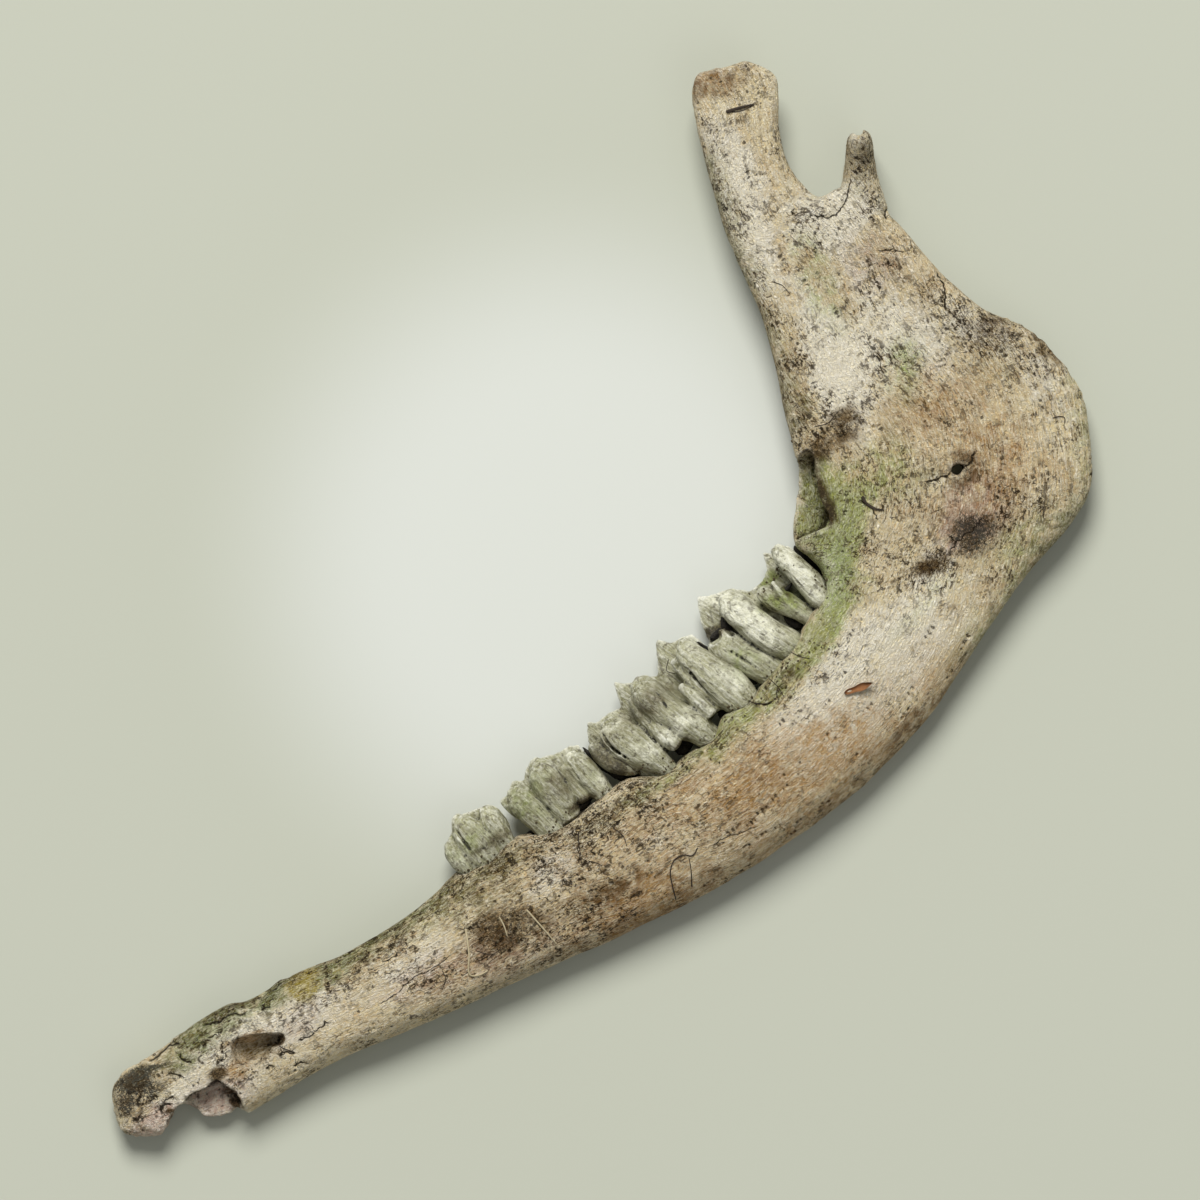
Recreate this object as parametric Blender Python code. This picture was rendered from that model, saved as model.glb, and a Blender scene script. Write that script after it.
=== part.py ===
"""Left half of the lower jaw of an elk calf, lying on its inner side, with four cheek teeth.

x runs from the chin back to the angle of the jaw, y from the lower border up to the coronoid
process, and z from the inner side, which lies on the surface, up to the cheek side. The values
below are millimetres in that frame, and place() turns them to metres about the middle of the jaw.
"""

import math

import bmesh
import bpy
import numpy as np

MM = 0.001

# Driving dimensions of the whole bone.
JAW_LENGTH = 232.9
JAW_HEIGHT = 129.1
CHIN_X = 0.7
MIDDLE = (CHIN_X + JAW_LENGTH / 2, JAW_HEIGHT / 2, 0.0)
SOCKET_GAP = 0.35

# Mesh density: ribs along the jaw and the condyle's neck, steps across one side of a rib, and
# sides of a root or a canal.
RIB_STEPS = 69
NECK_STEPS = 11
CORNER_STEPS = 4
PLATE_STEPS = 6
ROD_SIDES = 8

# Each rib crosses the bone: x, y of its upper or front end, then x, y of its lower or rear end.
RIBS = (
    # chin
    (0.9, 33.4, 0.7, 31.4),
    (2.0, 36.2, 2.6, 29.7),
    (3.6, 39.3, 4.6, 28.0),
    (6.4, 40.6, 6.8, 26.6),
    (9.6, 40.8, 10.0, 25.6),
    (15.0, 40.4, 15.0, 23.2),
    (20.0, 40.3, 20.3, 20.6),
    (26.0, 40.1, 26.0, 19.8),
    (31.5, 39.5, 32.0, 19.5),
    # toothless gap
    (34.5, 37.9, 37.0, 18.9),
    (43.0, 37.0, 44.0, 17.8),
    (52.4, 34.5, 54.0, 15.3),
    (64.3, 32.8, 65.0, 12.7),
    (76.0, 32.8, 77.4, 10.0),
    # tooth row
    (82.0, 33.6, 84.0, 8.5),
    (89.0, 32.4, 91.0, 7.1),
    (95.7, 32.2, 98.0, 5.3),
    (99.5, 30.1, 102.0, 4.5),
    (104.0, 28.5, 107.0, 3.6),
    (112.0, 28.8, 113.5, 2.4),
    (119.5, 28.4, 121.0, 1.3),
    (124.5, 25.8, 126.0, 0.8),
    (131.0, 25.5, 132.0, 0.35),
    (137.5, 25.5, 138.5, 0.15),
    (141.0, 27.2, 142.5, 0.0),
    (146.0, 26.9, 148.0, 0.1),
    (153.0, 28.4, 155.5, 0.5),
    (160.0, 30.2, 163.0, 1.6),
    # behind the last tooth, fanning round the angle
    (165.5, 32.8, 172.0, 3.4),
    (170.2, 34.8, 182.0, 6.8),
    (172.6, 38.2, 193.0, 10.7),
    (172.3, 42.0, 205.0, 14.5),
    (171.5, 45.2, 216.0, 16.9),
    (173.4, 48.5, 223.5, 20.2),
    (176.0, 51.0, 229.3, 28.0),
    (178.8, 54.7, 233.6, 38.0),
    (181.2, 58.0, 233.2, 46.5),
    (182.9, 61.5, 231.4, 53.6),
    # ramus
    (185.0, 66.8, 227.7, 60.0),
    (187.9, 72.8, 225.6, 68.0),
    (190.6, 79.2, 224.6, 75.5),
    (193.0, 85.8, 224.2, 82.5),
    (194.3, 91.5, 222.8, 89.4),
    (195.1, 95.0, 219.6, 95.2),
    # coronoid process
    (195.7, 97.4, 215.3, 96.1),
    (196.8, 101.8, 213.9, 100.6),
    (198.4, 106.4, 214.3, 105.4),
    (200.6, 112.5, 216.9, 111.6),
    (202.7, 117.6, 220.2, 116.2),
    (204.8, 122.2, 222.2, 119.8),
    (206.8, 126.1, 221.0, 123.2),
    (208.7, 128.3, 218.9, 125.8),
    (210.4, 129.3, 215.6, 126.7),
    (211.3, 129.1, 213.2, 127.6),
)

# Build of the bone at some ribs: rib number, height of the inner face at the upper end, middle
# and lower end, thickness at the same three, and depth of the rounding at the two ends.
BUILD = (
    (0, 3.2, 3.2, 3.2, 2.4, 2.6, 2.4, 0.9, 0.9),
    (2, 1.4, 0.8, 1.4, 6.0, 7.0, 6.0, 2.6, 2.6),
    (4, 0.8, -0.4, 1.2, 7.0, 9.0, 6.0, 3.4, 2.8),
    (8, 1.2, 0.2, 1.4, 8.0, 11.0, 7.0, 4.0, 3.5),
    (11, 1.4, 0.6, 1.4, 7.4, 11.5, 7.5, 3.8, 3.8),
    (14, 1.2, -0.1, 1.0, 8.5, 12.8, 8.0, 3.5, 4.2),
    (16, 0.8, -0.5, 0.8, 10.5, 13.6, 8.0, 2.2, 4.5),
    (20, 0.8, -0.7, 0.8, 13.0, 15.3, 8.5, 2.2, 5.0),
    (25, 0.8, -0.7, 0.8, 14.5, 16.6, 8.5, 2.2, 5.5),
    (27, 1.0, -0.5, 1.2, 15.0, 16.0, 8.0, 2.4, 5.5),
    (29, 2.0, 1.0, 2.8, 13.0, 12.5, 7.0, 3.0, 5.0),
    (31, 3.0, 3.8, 4.0, 11.0, 8.2, 6.0, 4.0, 4.5),
    (33, 3.6, 5.6, 4.2, 10.0, 5.8, 5.5, 4.2, 4.0),
    (35, 4.0, 6.4, 3.6, 9.2, 4.6, 5.6, 4.0, 3.8),
    (38, 4.4, 6.6, 5.0, 8.6, 4.2, 6.6, 4.0, 4.0),
    (42, 5.2, 6.8, 5.8, 7.6, 4.2, 6.2, 3.8, 3.8),
    (45, 6.0, 7.0, 6.6, 6.4, 4.6, 4.6, 3.2, 2.6),
    (49, 6.8, 7.2, 7.2, 5.0, 4.6, 3.8, 2.6, 2.2),
    (51, 7.4, 7.6, 7.8, 4.0, 4.0, 3.2, 2.0, 1.8),
    (53, 8.4, 8.4, 8.6, 2.0, 2.2, 2.0, 0.9, 0.9),
)

# The neck and head of the condyle: x, y of its notch side, x, y of its rear side.
NECK_RIBS = (
    (209.0, 82.0, 218.5, 75.5),
    (213.0, 88.5, 222.4, 82.0),
    (217.3, 93.4, 225.0, 88.4),
    (220.6, 96.2, 226.6, 93.0),
    (222.9, 98.4, 228.0, 95.9),
    (224.6, 100.2, 229.1, 98.0),
    (225.8, 101.5, 229.8, 99.6),
    (226.9, 102.2, 229.7, 101.0),
    (227.8, 102.2, 229.0, 101.8),
)
NECK_BUILD = (
    (0, 8.4, 8.4, 8.4, 1.4, 1.4, 1.4, 0.7, 0.7),
    (1, 7.4, 7.4, 7.4, 3.0, 3.2, 3.0, 1.5, 1.5),
    (2, 6.4, 6.2, 6.4, 5.0, 5.4, 5.0, 2.5, 2.5),
    (3, 4.6, 4.2, 4.6, 8.2, 8.8, 8.2, 3.2, 3.2),
    (4, 2.2, 1.8, 2.2, 12.4, 13.2, 12.4, 2.7, 2.7),
    (5, 0.2, -0.2, 0.2, 17.2, 18.0, 17.2, 2.4, 2.4),
    (6, -0.4, -0.4, -0.4, 18.8, 19.2, 18.8, 2.1, 2.1),
    (7, 0.8, 0.8, 0.8, 16.8, 16.8, 16.8, 1.4, 1.4),
    (8, 2.5, 2.5, 2.5, 13.4, 13.4, 13.4, 0.6, 0.6),
)

# Low forms of the cheek side and of the inner side, standing out of the bone (or into it where
# the last value is negative): x, y of the middle, half length, half width, turn in degrees, rise.
CHEEK_FORMS = (
    (187.5, 76.0, 24.0, 2.6, 68.0, 1.3),
    (200.5, 110.0, 16.0, 2.2, 68.0, 0.7),
    (206.0, 72.0, 22.0, 8.0, 72.0, -1.3),
    (205.0, 47.0, 11.0, 12.0, 0.0, -0.6),
    (222.0, 70.0, 18.0, 3.0, 97.0, 0.7),
    (229.5, 42.0, 9.0, 2.6, 92.0, 0.8),
    (203.0, 24.0, 22.0, 4.5, 14.0, 1.0),
    (176.0, 40.0, 9.0, 4.5, 60.0, 0.9),
    (128.0, 19.5, 34.0, 3.6, 2.0, -0.5),
    (54.0, 30.5, 20.0, 2.4, -8.0, 0.5),
    (50.0, 25.0, 17.0, 2.2, -8.0, -0.4),
    (30.0, 36.5, 9.0, 2.2, 0.0, 0.5),
    (219.5, 88.5, 9.0, 4.5, 58.0, 1.1),
)
INNER_FORMS = (
    (217.0, 44.0, 13.0, 10.0, 30.0, -1.6),
    (205.0, 74.0, 20.0, 7.0, 75.0, -0.8),
    (228.5, 45.0, 11.0, 2.6, 95.0, 0.9),
    (135.0, 23.5, 38.0, 2.2, 4.0, 0.6),
    (128.0, 8.0, 40.0, 4.0, -3.0, -0.5),
    (14.0, 32.0, 9.0, 4.5, 20.0, 0.8),
    (219.5, 88.5, 9.0, 4.5, 58.0, 1.1),
)

# Teeth. Each lobe: x of its front and rear, x of the front and rear of its outer column, height of
# the flank before the column and of the column, x and height of the inner cusp. Saddle: height of
# the outer and the inner rim between lobes. Lean: shift back per unit of depth at the tooth's front
# and rear. Roots: x of the middle and half length along the row.
TEETH = {
    "premolar_2": {
        "lobes": (
            (81.7, 90.4, 84.6, 89.4, 38.8, 41.6, 87.6, 42.4),
            (90.4, 96.1, 91.6, 95.2, 39.4, 40.4, 92.6, 41.2),
        ),
        "saddle": (39.0, 40.2),
        "neck": 31.6,
        "arch": 1.0,
        "z": (3.6, 10.0),
        "lean": (0.05, 0.05),
        "roots": ((85.8, 3.0), (92.8, 2.2)),
    },
    "premolar_3": {
        "lobes": (
            (96.6, 103.4, 98.2, 102.2, 38.6, 39.8, 100.9, 41.6),
            (103.4, 110.6, 104.4, 109.4, 39.4, 41.6, 107.0, 42.0),
            (110.6, 115.9, 111.8, 115.0, 37.8, 38.6, 113.0, 40.4),
        ),
        "saddle": (37.6, 39.4),
        "neck": 29.4,
        "arch": 1.7,
        "z": (3.0, 11.8),
        "lean": (0.08, 0.08),
        "roots": ((101.8, 3.8), (113.6, 2.2)),
    },
    "premolar_4": {
        "lobes": (
            (116.2, 126.4, 119.4, 125.4, 38.2, 39.9, 119.4, 42.4),
            (126.4, 135.5, 129.8, 134.7, 38.8, 42.5, 128.2, 45.4),
            (135.5, 146.4, 139.9, 145.4, 39.6, 43.9, 139.4, 46.9),
        ),
        "saddle": (37.6, 40.8),
        "neck": 25.8,
        "arch": 2.2,
        "z": (2.6, 13.6),
        "lean": (0.14, 0.33),
        "roots": ((125.0, 3.6), (136.4, 2.8), (146.2, 3.2)),
    },
    "molar_1": {
        "lobes": (
            (146.9, 158.7, 152.8, 158.0, 40.0, 45.8, 151.4, 48.9),
            (158.7, 171.3, 165.6, 170.8, 42.2, 47.7, 166.0, 48.4),
        ),
        "saddle": (40.0, 43.4),
        "neck": 23.0,
        "arch": 1.0,
        "z": (2.6, 14.2),
        "lean": (0.34, 0.2),
        "roots": ((157.6, 3.6), (168.4, 3.2)),
    },
}
# A root starts inside the crown and reaches into the bone. Its sizes at both ends are shares of
# its half length along the row and of the tooth's half width.
ROOT_START = 2.5
ROOT_DEPTH = 11.0
ROOT_TOP_SHARES = (1.0, 0.7)
ROOT_TIP_SHARES = (0.5, 0.4)
TOOTH_END_ROUND = 2.6
NECK_ARCH_RUN = 1.6
COLUMN_EDGE = 1.3
# Half width of the outer side as shares of the tooth's: in a groove, more on a flank, more on a
# column. The same for the inner side: in a groove and more on a cusp.
OUTER_SHARES = (0.5, 0.2, 0.3)
INNER_SHARES = (0.8, 0.2)
# Rings of a crown from the neck up the wall and down into the hollows of the chewing surface:
# share of the height, share of the half width, depth below the rim in millimetres, how far the
# ring follows its own side's rim and not the mean of both, and how far its ends are drawn in.
CROWN_RINGS = (
    (0.0, 0.0, 0.0, 1.0, 2.4),
    (0.02, 0.62, 0.0, 1.0, 1.4),
    (0.07, 0.82, 0.0, 1.0, 0.7),
    (0.3, 0.98, 0.0, 1.0, 0.0),
    (0.65, 0.96, 0.0, 1.0, 0.0),
    (1.0, 0.74, 0.0, 1.0, 0.4),
    (1.0, 0.5, 1.6, 0.8, 1.2),
    (1.0, 0.22, 4.2, 0.4, 2.2),
    (1.0, 0.0, 3.4, 0.0, 2.8),
)

# Broken and open places, in millimetres.
BROKEN_CHIN = (
    (4.0, 14.0), (22.0, 14.0), (22.0, 20.6), (21.4, 22.3), (19.3, 22.3), (17.6, 23.2),
    (15.8, 24.4), (14.7, 25.9), (14.1, 28.1), (13.2, 29.4), (9.0, 28.1), (6.3, 26.7),
)
LOST_CHEEK_WALL = (
    (12.8, 29.2), (15.4, 30.0), (18.2, 29.3), (21.2, 29.1), (22.2, 27.2), (22.6, 24.6),
    (21.9, 21.0), (14.0, 21.0),
)
LOST_WALL_FLOOR = 4.6
# The window of the crypt, with the height of its sloping floor at each point.
CRYPT_WINDOW = (
    (169.0, 47.6, 9.4), (172.6, 46.2, 9.0), (174.3, 45.2, 8.0), (176.4, 45.5, 7.2),
    (178.4, 44.7, 6.0), (180.1, 45.4, 5.6), (180.4, 47.7, 5.4), (181.4, 50.6, 5.6),
    (182.2, 53.3, 6.2), (183.9, 54.7, 6.8), (184.6, 56.6, 7.2), (184.2, 58.2, 7.6),
    (182.4, 60.6, 9.0), (177.0, 60.0, 9.4), (170.0, 53.0, 9.6),
)

ALONG = (1.0, 0.0, 0.0)
# Round-ended openings: name, start, end, half widths at both, and the direction of the first.
CANALS = (
    ("molar_crypt", (179.5, 57.5, 8.4), (184.0, 43.5, 7.8), (3.2, 1.9), (3.8, 2.0), ALONG),
    ("mental_foramen", (31.2, 29.7, 14.0), (32.0, 29.4, 6.6), (6.4, 3.6), (2.4, 1.6), ALONG),
    ("mental_canal", (31.0, 29.4, 8.4), (43.0, 28.2, 6.2), (1.8, 1.8), (1.3, 1.3), (0.0, 1.0, 0.0)),
    ("inner_foramen", (203.0, 57.0, 2.0), (189.0, 44.5, 8.0), (3.4, 3.0), (1.9, 1.7), ALONG),
    ("small_hole", (205.0, 38.5, 0.0), (205.0, 38.5, 20.0), (1.15, 1.15), (1.15, 1.15), ALONG),
)


def place(points):
    """The points, given in millimetres from the chin, in metres about the middle of the jaw."""
    return (np.asarray(points, float) - MIDDLE) * MM


def through(rows, places):
    """Smooth curve through rows whose first value is their place along it, read at places.

    Between two rows it is a cubic whose slope at each row is the slope between its neighbours.
    """
    rows = np.asarray(rows, float)
    at, values = rows[:, 0], rows[:, 1:]
    slopes = np.gradient(values, at, axis=0)
    first = np.clip(np.searchsorted(at, places, side="right") - 1, 0, len(at) - 2)
    step = (at[first + 1] - at[first])[:, None]
    t = ((places - at[first])[:, None]) / step
    return (
        (2 * t**3 - 3 * t**2 + 1) * values[first]
        + (t**3 - 2 * t**2 + t) * step * slopes[first]
        + (3 * t**2 - 2 * t**3) * values[first + 1]
        + (t**3 - t**2) * step * slopes[first + 1]
    )


def three_way(ends, share):
    """Parabola through the values at share 0, 0.5 and 1."""
    upper, middle, lower = ends
    return (
        upper * (1 - share) * (1 - 2 * share)
        + middle * 4 * share * (1 - share)
        + lower * share * (2 * share - 1)
    )


def low_forms(forms, flat):
    """Sum of long bell-shaped rises at points x, y."""
    total = np.zeros(flat.shape[:-1])
    for x, y, long, wide, degrees, rise in forms:
        turn = math.radians(degrees)
        dx, dy = flat[..., 0] - x, flat[..., 1] - y
        along = (dx * math.cos(turn) + dy * math.sin(turn)) / long
        across = (dy * math.cos(turn) - dx * math.sin(turn)) / wide
        total += rise * np.exp(-along**2 - across**2)
    return total


def bone_surface(ribs, build, steps):
    """Rings round the bone, as an array of steps x ring points x 3.

    Ribs are read evenly along the bone. Across a rib the face heights follow a parabola, and
    near each end they close in on the middle surface as a quarter of a superellipse.
    """
    ribs = np.asarray(ribs, float)
    moved = np.diff(ribs, axis=0)
    travel = np.hypot(moved[:, 0], moved[:, 1]) + np.hypot(moved[:, 2], moved[:, 3])
    along = np.concatenate([[0.0], np.cumsum(travel)])
    reads = np.linspace(0, along[-1], steps)
    ends = through(np.column_stack([along, ribs]), reads)
    rib_number = np.interp(reads, along, np.arange(len(ribs)))
    made = through(build, rib_number)
    upper, lower = ends[:, None, 0:2], ends[:, None, 2:4]
    width = np.linalg.norm(lower - upper, axis=2)
    inner = [made[:, i, None] for i in (0, 1, 2)]
    thick = [made[:, i, None] for i in (3, 4, 5)]
    rounds = [made[:, i, None] for i in (6, 7)]

    turn = np.arange(CORNER_STEPS)[None, :] / CORNER_STEPS * math.pi / 2
    shares, fullness = [], []
    for end in (0, 1):
        blunt = 2 + 1.6 * np.clip(1 - 2 * rounds[end] / thick[2 * end], 0, 1)
        depth = rounds[end] * (1 - np.cos(turn) ** (2 / blunt))
        full = np.sin(turn) ** (2 / blunt)
        shares.append(depth / width)
        fullness.append(full)
    run = np.linspace(0, 1, PLATE_STEPS + 1)[None, :]
    middle = (rounds[0] + run * (width - rounds[0] - rounds[1])) / width
    share = np.hstack([shares[0], middle, 1 - shares[1][:, ::-1]])
    full = np.hstack([fullness[0], np.ones_like(middle), fullness[1][:, ::-1]])

    half = three_way(thick, share) / 2
    centre = three_way(inner, share) + half
    flat = upper + share[..., None] * (lower - upper)
    cheek = np.dstack([flat, centre + (half + low_forms(CHEEK_FORMS, flat)) * full])
    tongue = np.dstack([flat, centre - (half + low_forms(INNER_FORMS, flat)) * full])
    tongue = tongue[:, -2:0:-1]
    rings = np.concatenate([cheek, tongue], axis=1)
    # The inner side is worn flat where it rests.
    rings[..., 2] = np.maximum(rings[..., 2], 0)
    return rings


def ring_faces(rows, around):
    """Four-sided faces between neighbouring rings."""
    row, column = np.meshgrid(np.arange(rows - 1), np.arange(around), indexing="ij")
    after = (column + 1) % around
    return np.stack(
        [row * around + column, row * around + after, (row + 1) * around + after,
         (row + 1) * around + column], axis=-1
    ).reshape(-1, 4)


def ladder_faces(base, around, flip):
    """Faces that close a ring by joining its cheek side to its inner side."""
    half = around // 2
    steps = np.arange(half)
    opposite = (around - steps) % around
    nearer = (around - steps - 1) % around
    faces = np.stack([steps, steps + 1, nearer, opposite], axis=-1) + base
    return faces[:, ::-1] if flip else faces


def new_object(name, points, faces, collection):
    """Mesh object from points in the jaw's millimetres, welded, triangulated, facing outward."""
    mesh = bpy.data.meshes.new(name)
    mesh.from_pydata(place(points).tolist(), [], [tuple(face) for face in faces])
    shaped = bmesh.new()
    shaped.from_mesh(mesh)
    bmesh.ops.remove_doubles(shaped, verts=shaped.verts, dist=2e-5)
    bmesh.ops.dissolve_degenerate(shaped, edges=shaped.edges, dist=2e-5)
    bmesh.ops.triangulate(shaped, faces=shaped.faces, quad_method="FIXED")
    bmesh.ops.recalc_face_normals(shaped, faces=shaped.faces)
    shaped.to_mesh(mesh)
    shaped.free()
    made = bpy.data.objects.new(name, mesh)
    collection.objects.link(made)
    return made


def bone_object(name, ribs, build, steps, collection):
    rings = bone_surface(ribs, build, steps)
    rows, around = rings.shape[:2]
    faces = np.concatenate([
        ring_faces(rows, around),
        ladder_faces(0, around, True),
        ladder_faces((rows - 1) * around, around, False),
    ])
    return new_object(name, rings.reshape(-1, 3), faces, collection)


def as_cutter(made):
    made.hide_render = True
    made.display_type = "WIRE"
    return made


def prism(name, outline, low, high, collection):
    """Upright prism over an outline, from one height, or one height a point, up to another."""
    count = len(outline)
    ring = np.asarray(outline, float)[:, :2]
    points = np.vstack([
        np.column_stack([ring, np.broadcast_to(low, count)]),
        np.column_stack([ring, np.full(count, high)]),
    ])
    sides = [(i, (i + 1) % count, count + (i + 1) % count, count + i) for i in range(count)]
    caps = [tuple(range(count)), tuple(range(count, 2 * count))]
    return as_cutter(new_object(name, points, sides + caps, collection))


def tapered(name, start, end, start_size, end_size, wide, collection):
    """Round-ended rod between two points. Its sizes are half widths at each end, the first one
    towards the direction wide and the second across it."""
    start, end = np.asarray(start, float), np.asarray(end, float)
    axis = (end - start) / np.linalg.norm(end - start)
    side = np.asarray(wide, float) - np.dot(wide, axis) * axis
    side /= np.linalg.norm(side)
    rise = np.cross(side, axis)
    # The points are half a step off the tooth's middle plane, where crowns have their own points.
    turn = (np.arange(ROD_SIDES) + 0.5) / ROD_SIDES * 2 * math.pi
    rings = []
    for share, grown in ((0.0, 0.55), (0.06, 1.0), (1.0, 1.0), (1.08, 0.6)):
        size = np.asarray(start_size) * (1 - share) + np.asarray(end_size) * share
        around = np.outer(np.cos(turn), side) * size[0] + np.outer(np.sin(turn), rise) * size[1]
        rings.append(start + share * (end - start) + around * grown)
    faces = [tuple(face) for face in ring_faces(4, ROD_SIDES)]
    faces += [tuple(range(ROD_SIDES)), tuple(range(3 * ROD_SIDES, 4 * ROD_SIDES))]
    return as_cutter(new_object(name, np.vstack(rings), faces, collection))


def smooth_step(t):
    t = np.clip(t, 0, 1)
    return t * t * (3 - 2 * t)


def lobe_shape(tooth, places):
    """Outer and inner half widths, outer and inner rim heights, and depth of the hollows of a crown
    at places along the row.

    Across a lobe the outer side is a low flank and then a column, each with soft edges, and the
    inner side is one cusp, half a sine wave whose top sits at the cusp's place.
    """
    reach = (tooth["z"][1] - tooth["z"][0]) / 2
    outer_saddle, inner_saddle = tooth["saddle"]
    outer, inner, hollow = np.zeros((3, len(places)))
    outer_rim = np.full_like(places, outer_saddle)
    inner_rim = np.full_like(places, inner_saddle)
    for front, rear, column, column_end, flank_top, column_top, cusp, cusp_top in tooth["lobes"]:
        inside = (places >= front - 1e-9) & (places <= rear + 1e-9)
        at = places[inside]
        swell = np.sin(np.clip((at - front) / (rear - front), 0, 1) * math.pi)
        post = smooth_step((at - column) / COLUMN_EDGE + 0.5)
        post = post * smooth_step((column_end - at) / COLUMN_EDGE + 0.5)
        flank = smooth_step((at - front) / COLUMN_EDGE) * smooth_step((rear - at) / COLUMN_EDGE)
        peak = np.sin(np.interp(at, (front, cusp, rear), (0, 0.5, 1)) * math.pi)
        outer[inside] = OUTER_SHARES[0] + OUTER_SHARES[1] * flank + OUTER_SHARES[2] * post
        inner[inside] = INNER_SHARES[0] + INNER_SHARES[1] * peak
        hollow[inside] = 0.25 + 0.75 * swell
        outer_rim[inside] = (
            outer_saddle + (flank_top - outer_saddle) * flank + (column_top - flank_top) * post
        )
        inner_rim[inside] = inner_saddle + (cusp_top - inner_saddle) * peak**1.3
    # The two ends of the tooth round off.
    near = np.minimum(places - places[0], places[-1] - places)
    reach = reach * np.sqrt(1 - (1 - np.clip(near / TOOTH_END_ROUND, 0, 1)) ** 2)
    return reach * outer, reach * inner, outer_rim, inner_rim, hollow


def row_places(tooth):
    """Places along the row where a crown has points: more of them at the columns' edges."""
    half = COLUMN_EDGE / 2
    places = []
    for front, rear, column, column_end in (lobe[:4] for lobe in tooth["lobes"]):
        places += [front, (front + column - half) / 2, column - half, column + half]
        places += [(column + column_end) / 2, column_end - half]
    return np.array(places + [tooth["lobes"][-1][1]])


def neck_height(tooth, x):
    """Lower edge of a crown: low at each root, arched up between them."""
    away = np.min([np.abs(x - middle) - half for middle, half in tooth["roots"]], axis=0)
    return tooth["neck"] + tooth["arch"] * smooth_step(away / NECK_ARCH_RUN)


def crown_rings(tooth, grow=0.0):
    """Rings of a crown, as an array of rings x points x 3, or with grow the room round it.

    A ring runs back along the outer side and forward along the inner side. The last ring lies on
    the tooth's middle line, which closes the surface.
    """
    places = row_places(tooth)
    back = slice(-2, 0, -1)
    outer, inner, outer_rim, inner_rim, hollow = lobe_shape(tooth, places)
    middle = sum(tooth["z"]) / 2
    x = np.concatenate([places, places[back]])
    wide = np.concatenate([outer, -inner[back]])
    own_rim = np.concatenate([outer_rim, inner_rim[back]])
    mean_rim = np.concatenate([outer_rim + inner_rim, (outer_rim + inner_rim)[back]]) / 2
    hollow = np.concatenate([hollow, hollow[back]])
    first, last = places[0], places[-1]
    neck = neck_height(tooth, x)
    rings = []
    for height, share, depth, own, drawn in CROWN_RINGS:
        rim = mean_rim + own * (own_rim - mean_rim)
        y = neck + height * (rim - neck) - depth * hollow
        y = y + grow * (2 * height - 1)
        lean = np.interp(x, (first, last), tooth["lean"]) * (tooth["saddle"][0] - y)
        long = x + (grow - drawn) * (2 * (x - first) / (last - first) - 1)
        side = middle + (wide + grow * np.sign(wide)) * share
        rings.append(np.column_stack([long + lean, y, side]))
    return np.array(rings)


def crown_object(name, tooth, grow, collection):
    rings = crown_rings(tooth, grow)
    faces = ring_faces(*rings.shape[:2])
    return new_object(name, rings.reshape(-1, 3), faces, collection)


def root_ends(tooth, root, deeper):
    """Top and tip of a root, and its half widths at both."""
    x, half = root
    low, high = tooth["z"]
    middle = (low + high) / 2
    size = np.array([half, (high - low) / 2])
    lean = sum(tooth["lean"]) / 2
    top = (x - lean * ROOT_START, tooth["neck"] + ROOT_START, middle)
    tip = (x + lean * ROOT_DEPTH, tooth["neck"] - ROOT_DEPTH - deeper, middle)
    return top, tip, size * ROOT_TOP_SHARES, size * ROOT_TIP_SHARES


def root_object(name, tooth, root, grow, collection):
    """A root, or with grow its socket, as a tapered rod."""
    top, tip, wide, narrow = root_ends(tooth, root, grow)
    return tapered(name, top, tip, wide + grow, narrow + grow, ALONG, collection)


def combine(made, other, operation):
    step = made.modifiers.new(other.name, "BOOLEAN")
    step.object = other
    step.operation = operation
    step.solver = "EXACT"


def finish_of(name, colour, roughness):
    """Plain material from an sRGB hex colour."""
    channels = [int(colour[i:i + 2], 16) / 255 for i in (0, 2, 4)]
    linear = [c / 12.92 if c < 0.04045 else ((c + 0.055) / 1.055) ** 2.4 for c in channels]
    material = bpy.data.materials.new(name)
    material.use_nodes = True
    shader = material.node_tree.nodes["Principled BSDF"]
    shader.inputs["Base Color"].default_value = (*linear, 1)
    shader.inputs["Roughness"].default_value = roughness
    shader.inputs["Metallic"].default_value = 0
    return material


def weathered_bone():
    return finish_of("weathered_bone", "C6B896", 0.75)


def old_enamel():
    return finish_of("old_enamel", "C9CBB8", 0.45)


def jawbone(parts, cutters):
    bone = bone_object("jawbone", RIBS, BUILD, RIB_STEPS, parts)
    neck = as_cutter(bone_object("condyle_form", NECK_RIBS, NECK_BUILD, NECK_STEPS, cutters))
    combine(bone, neck, "UNION")
    window_floor = [point[2] for point in CRYPT_WINDOW]
    openings = [
        prism("broken_chin", BROKEN_CHIN, -5, 20, cutters),
        prism("lost_cheek_wall", LOST_CHEEK_WALL, LOST_WALL_FLOOR, 20, cutters),
        prism("crypt_window", CRYPT_WINDOW, window_floor, 20, cutters),
    ]
    for name, start, end, start_size, end_size, wide in CANALS:
        openings.append(tapered(name, start, end, start_size, end_size, wide, cutters))
    for opening in openings:
        combine(bone, opening, "DIFFERENCE")
    for name, tooth in TEETH.items():
        room = as_cutter(crown_object(f"{name}_room", tooth, SOCKET_GAP, cutters))
        combine(bone, room, "DIFFERENCE")
        for number, root in enumerate(tooth["roots"], 1):
            socket = root_object(f"{name}_socket_{number}", tooth, root, SOCKET_GAP, cutters)
            combine(bone, socket, "DIFFERENCE")
    bone.data.materials.append(weathered_bone())


def teeth(parts, cutters):
    enamel = old_enamel()
    for name, tooth in TEETH.items():
        crown = crown_object(name, tooth, 0.0, parts)
        for number, root in enumerate(tooth["roots"], 1):
            form = root_object(f"{name}_root_{number}", tooth, root, 0.0, cutters)
            combine(crown, form, "UNION")
        crown.data.materials.append(enamel)


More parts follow.
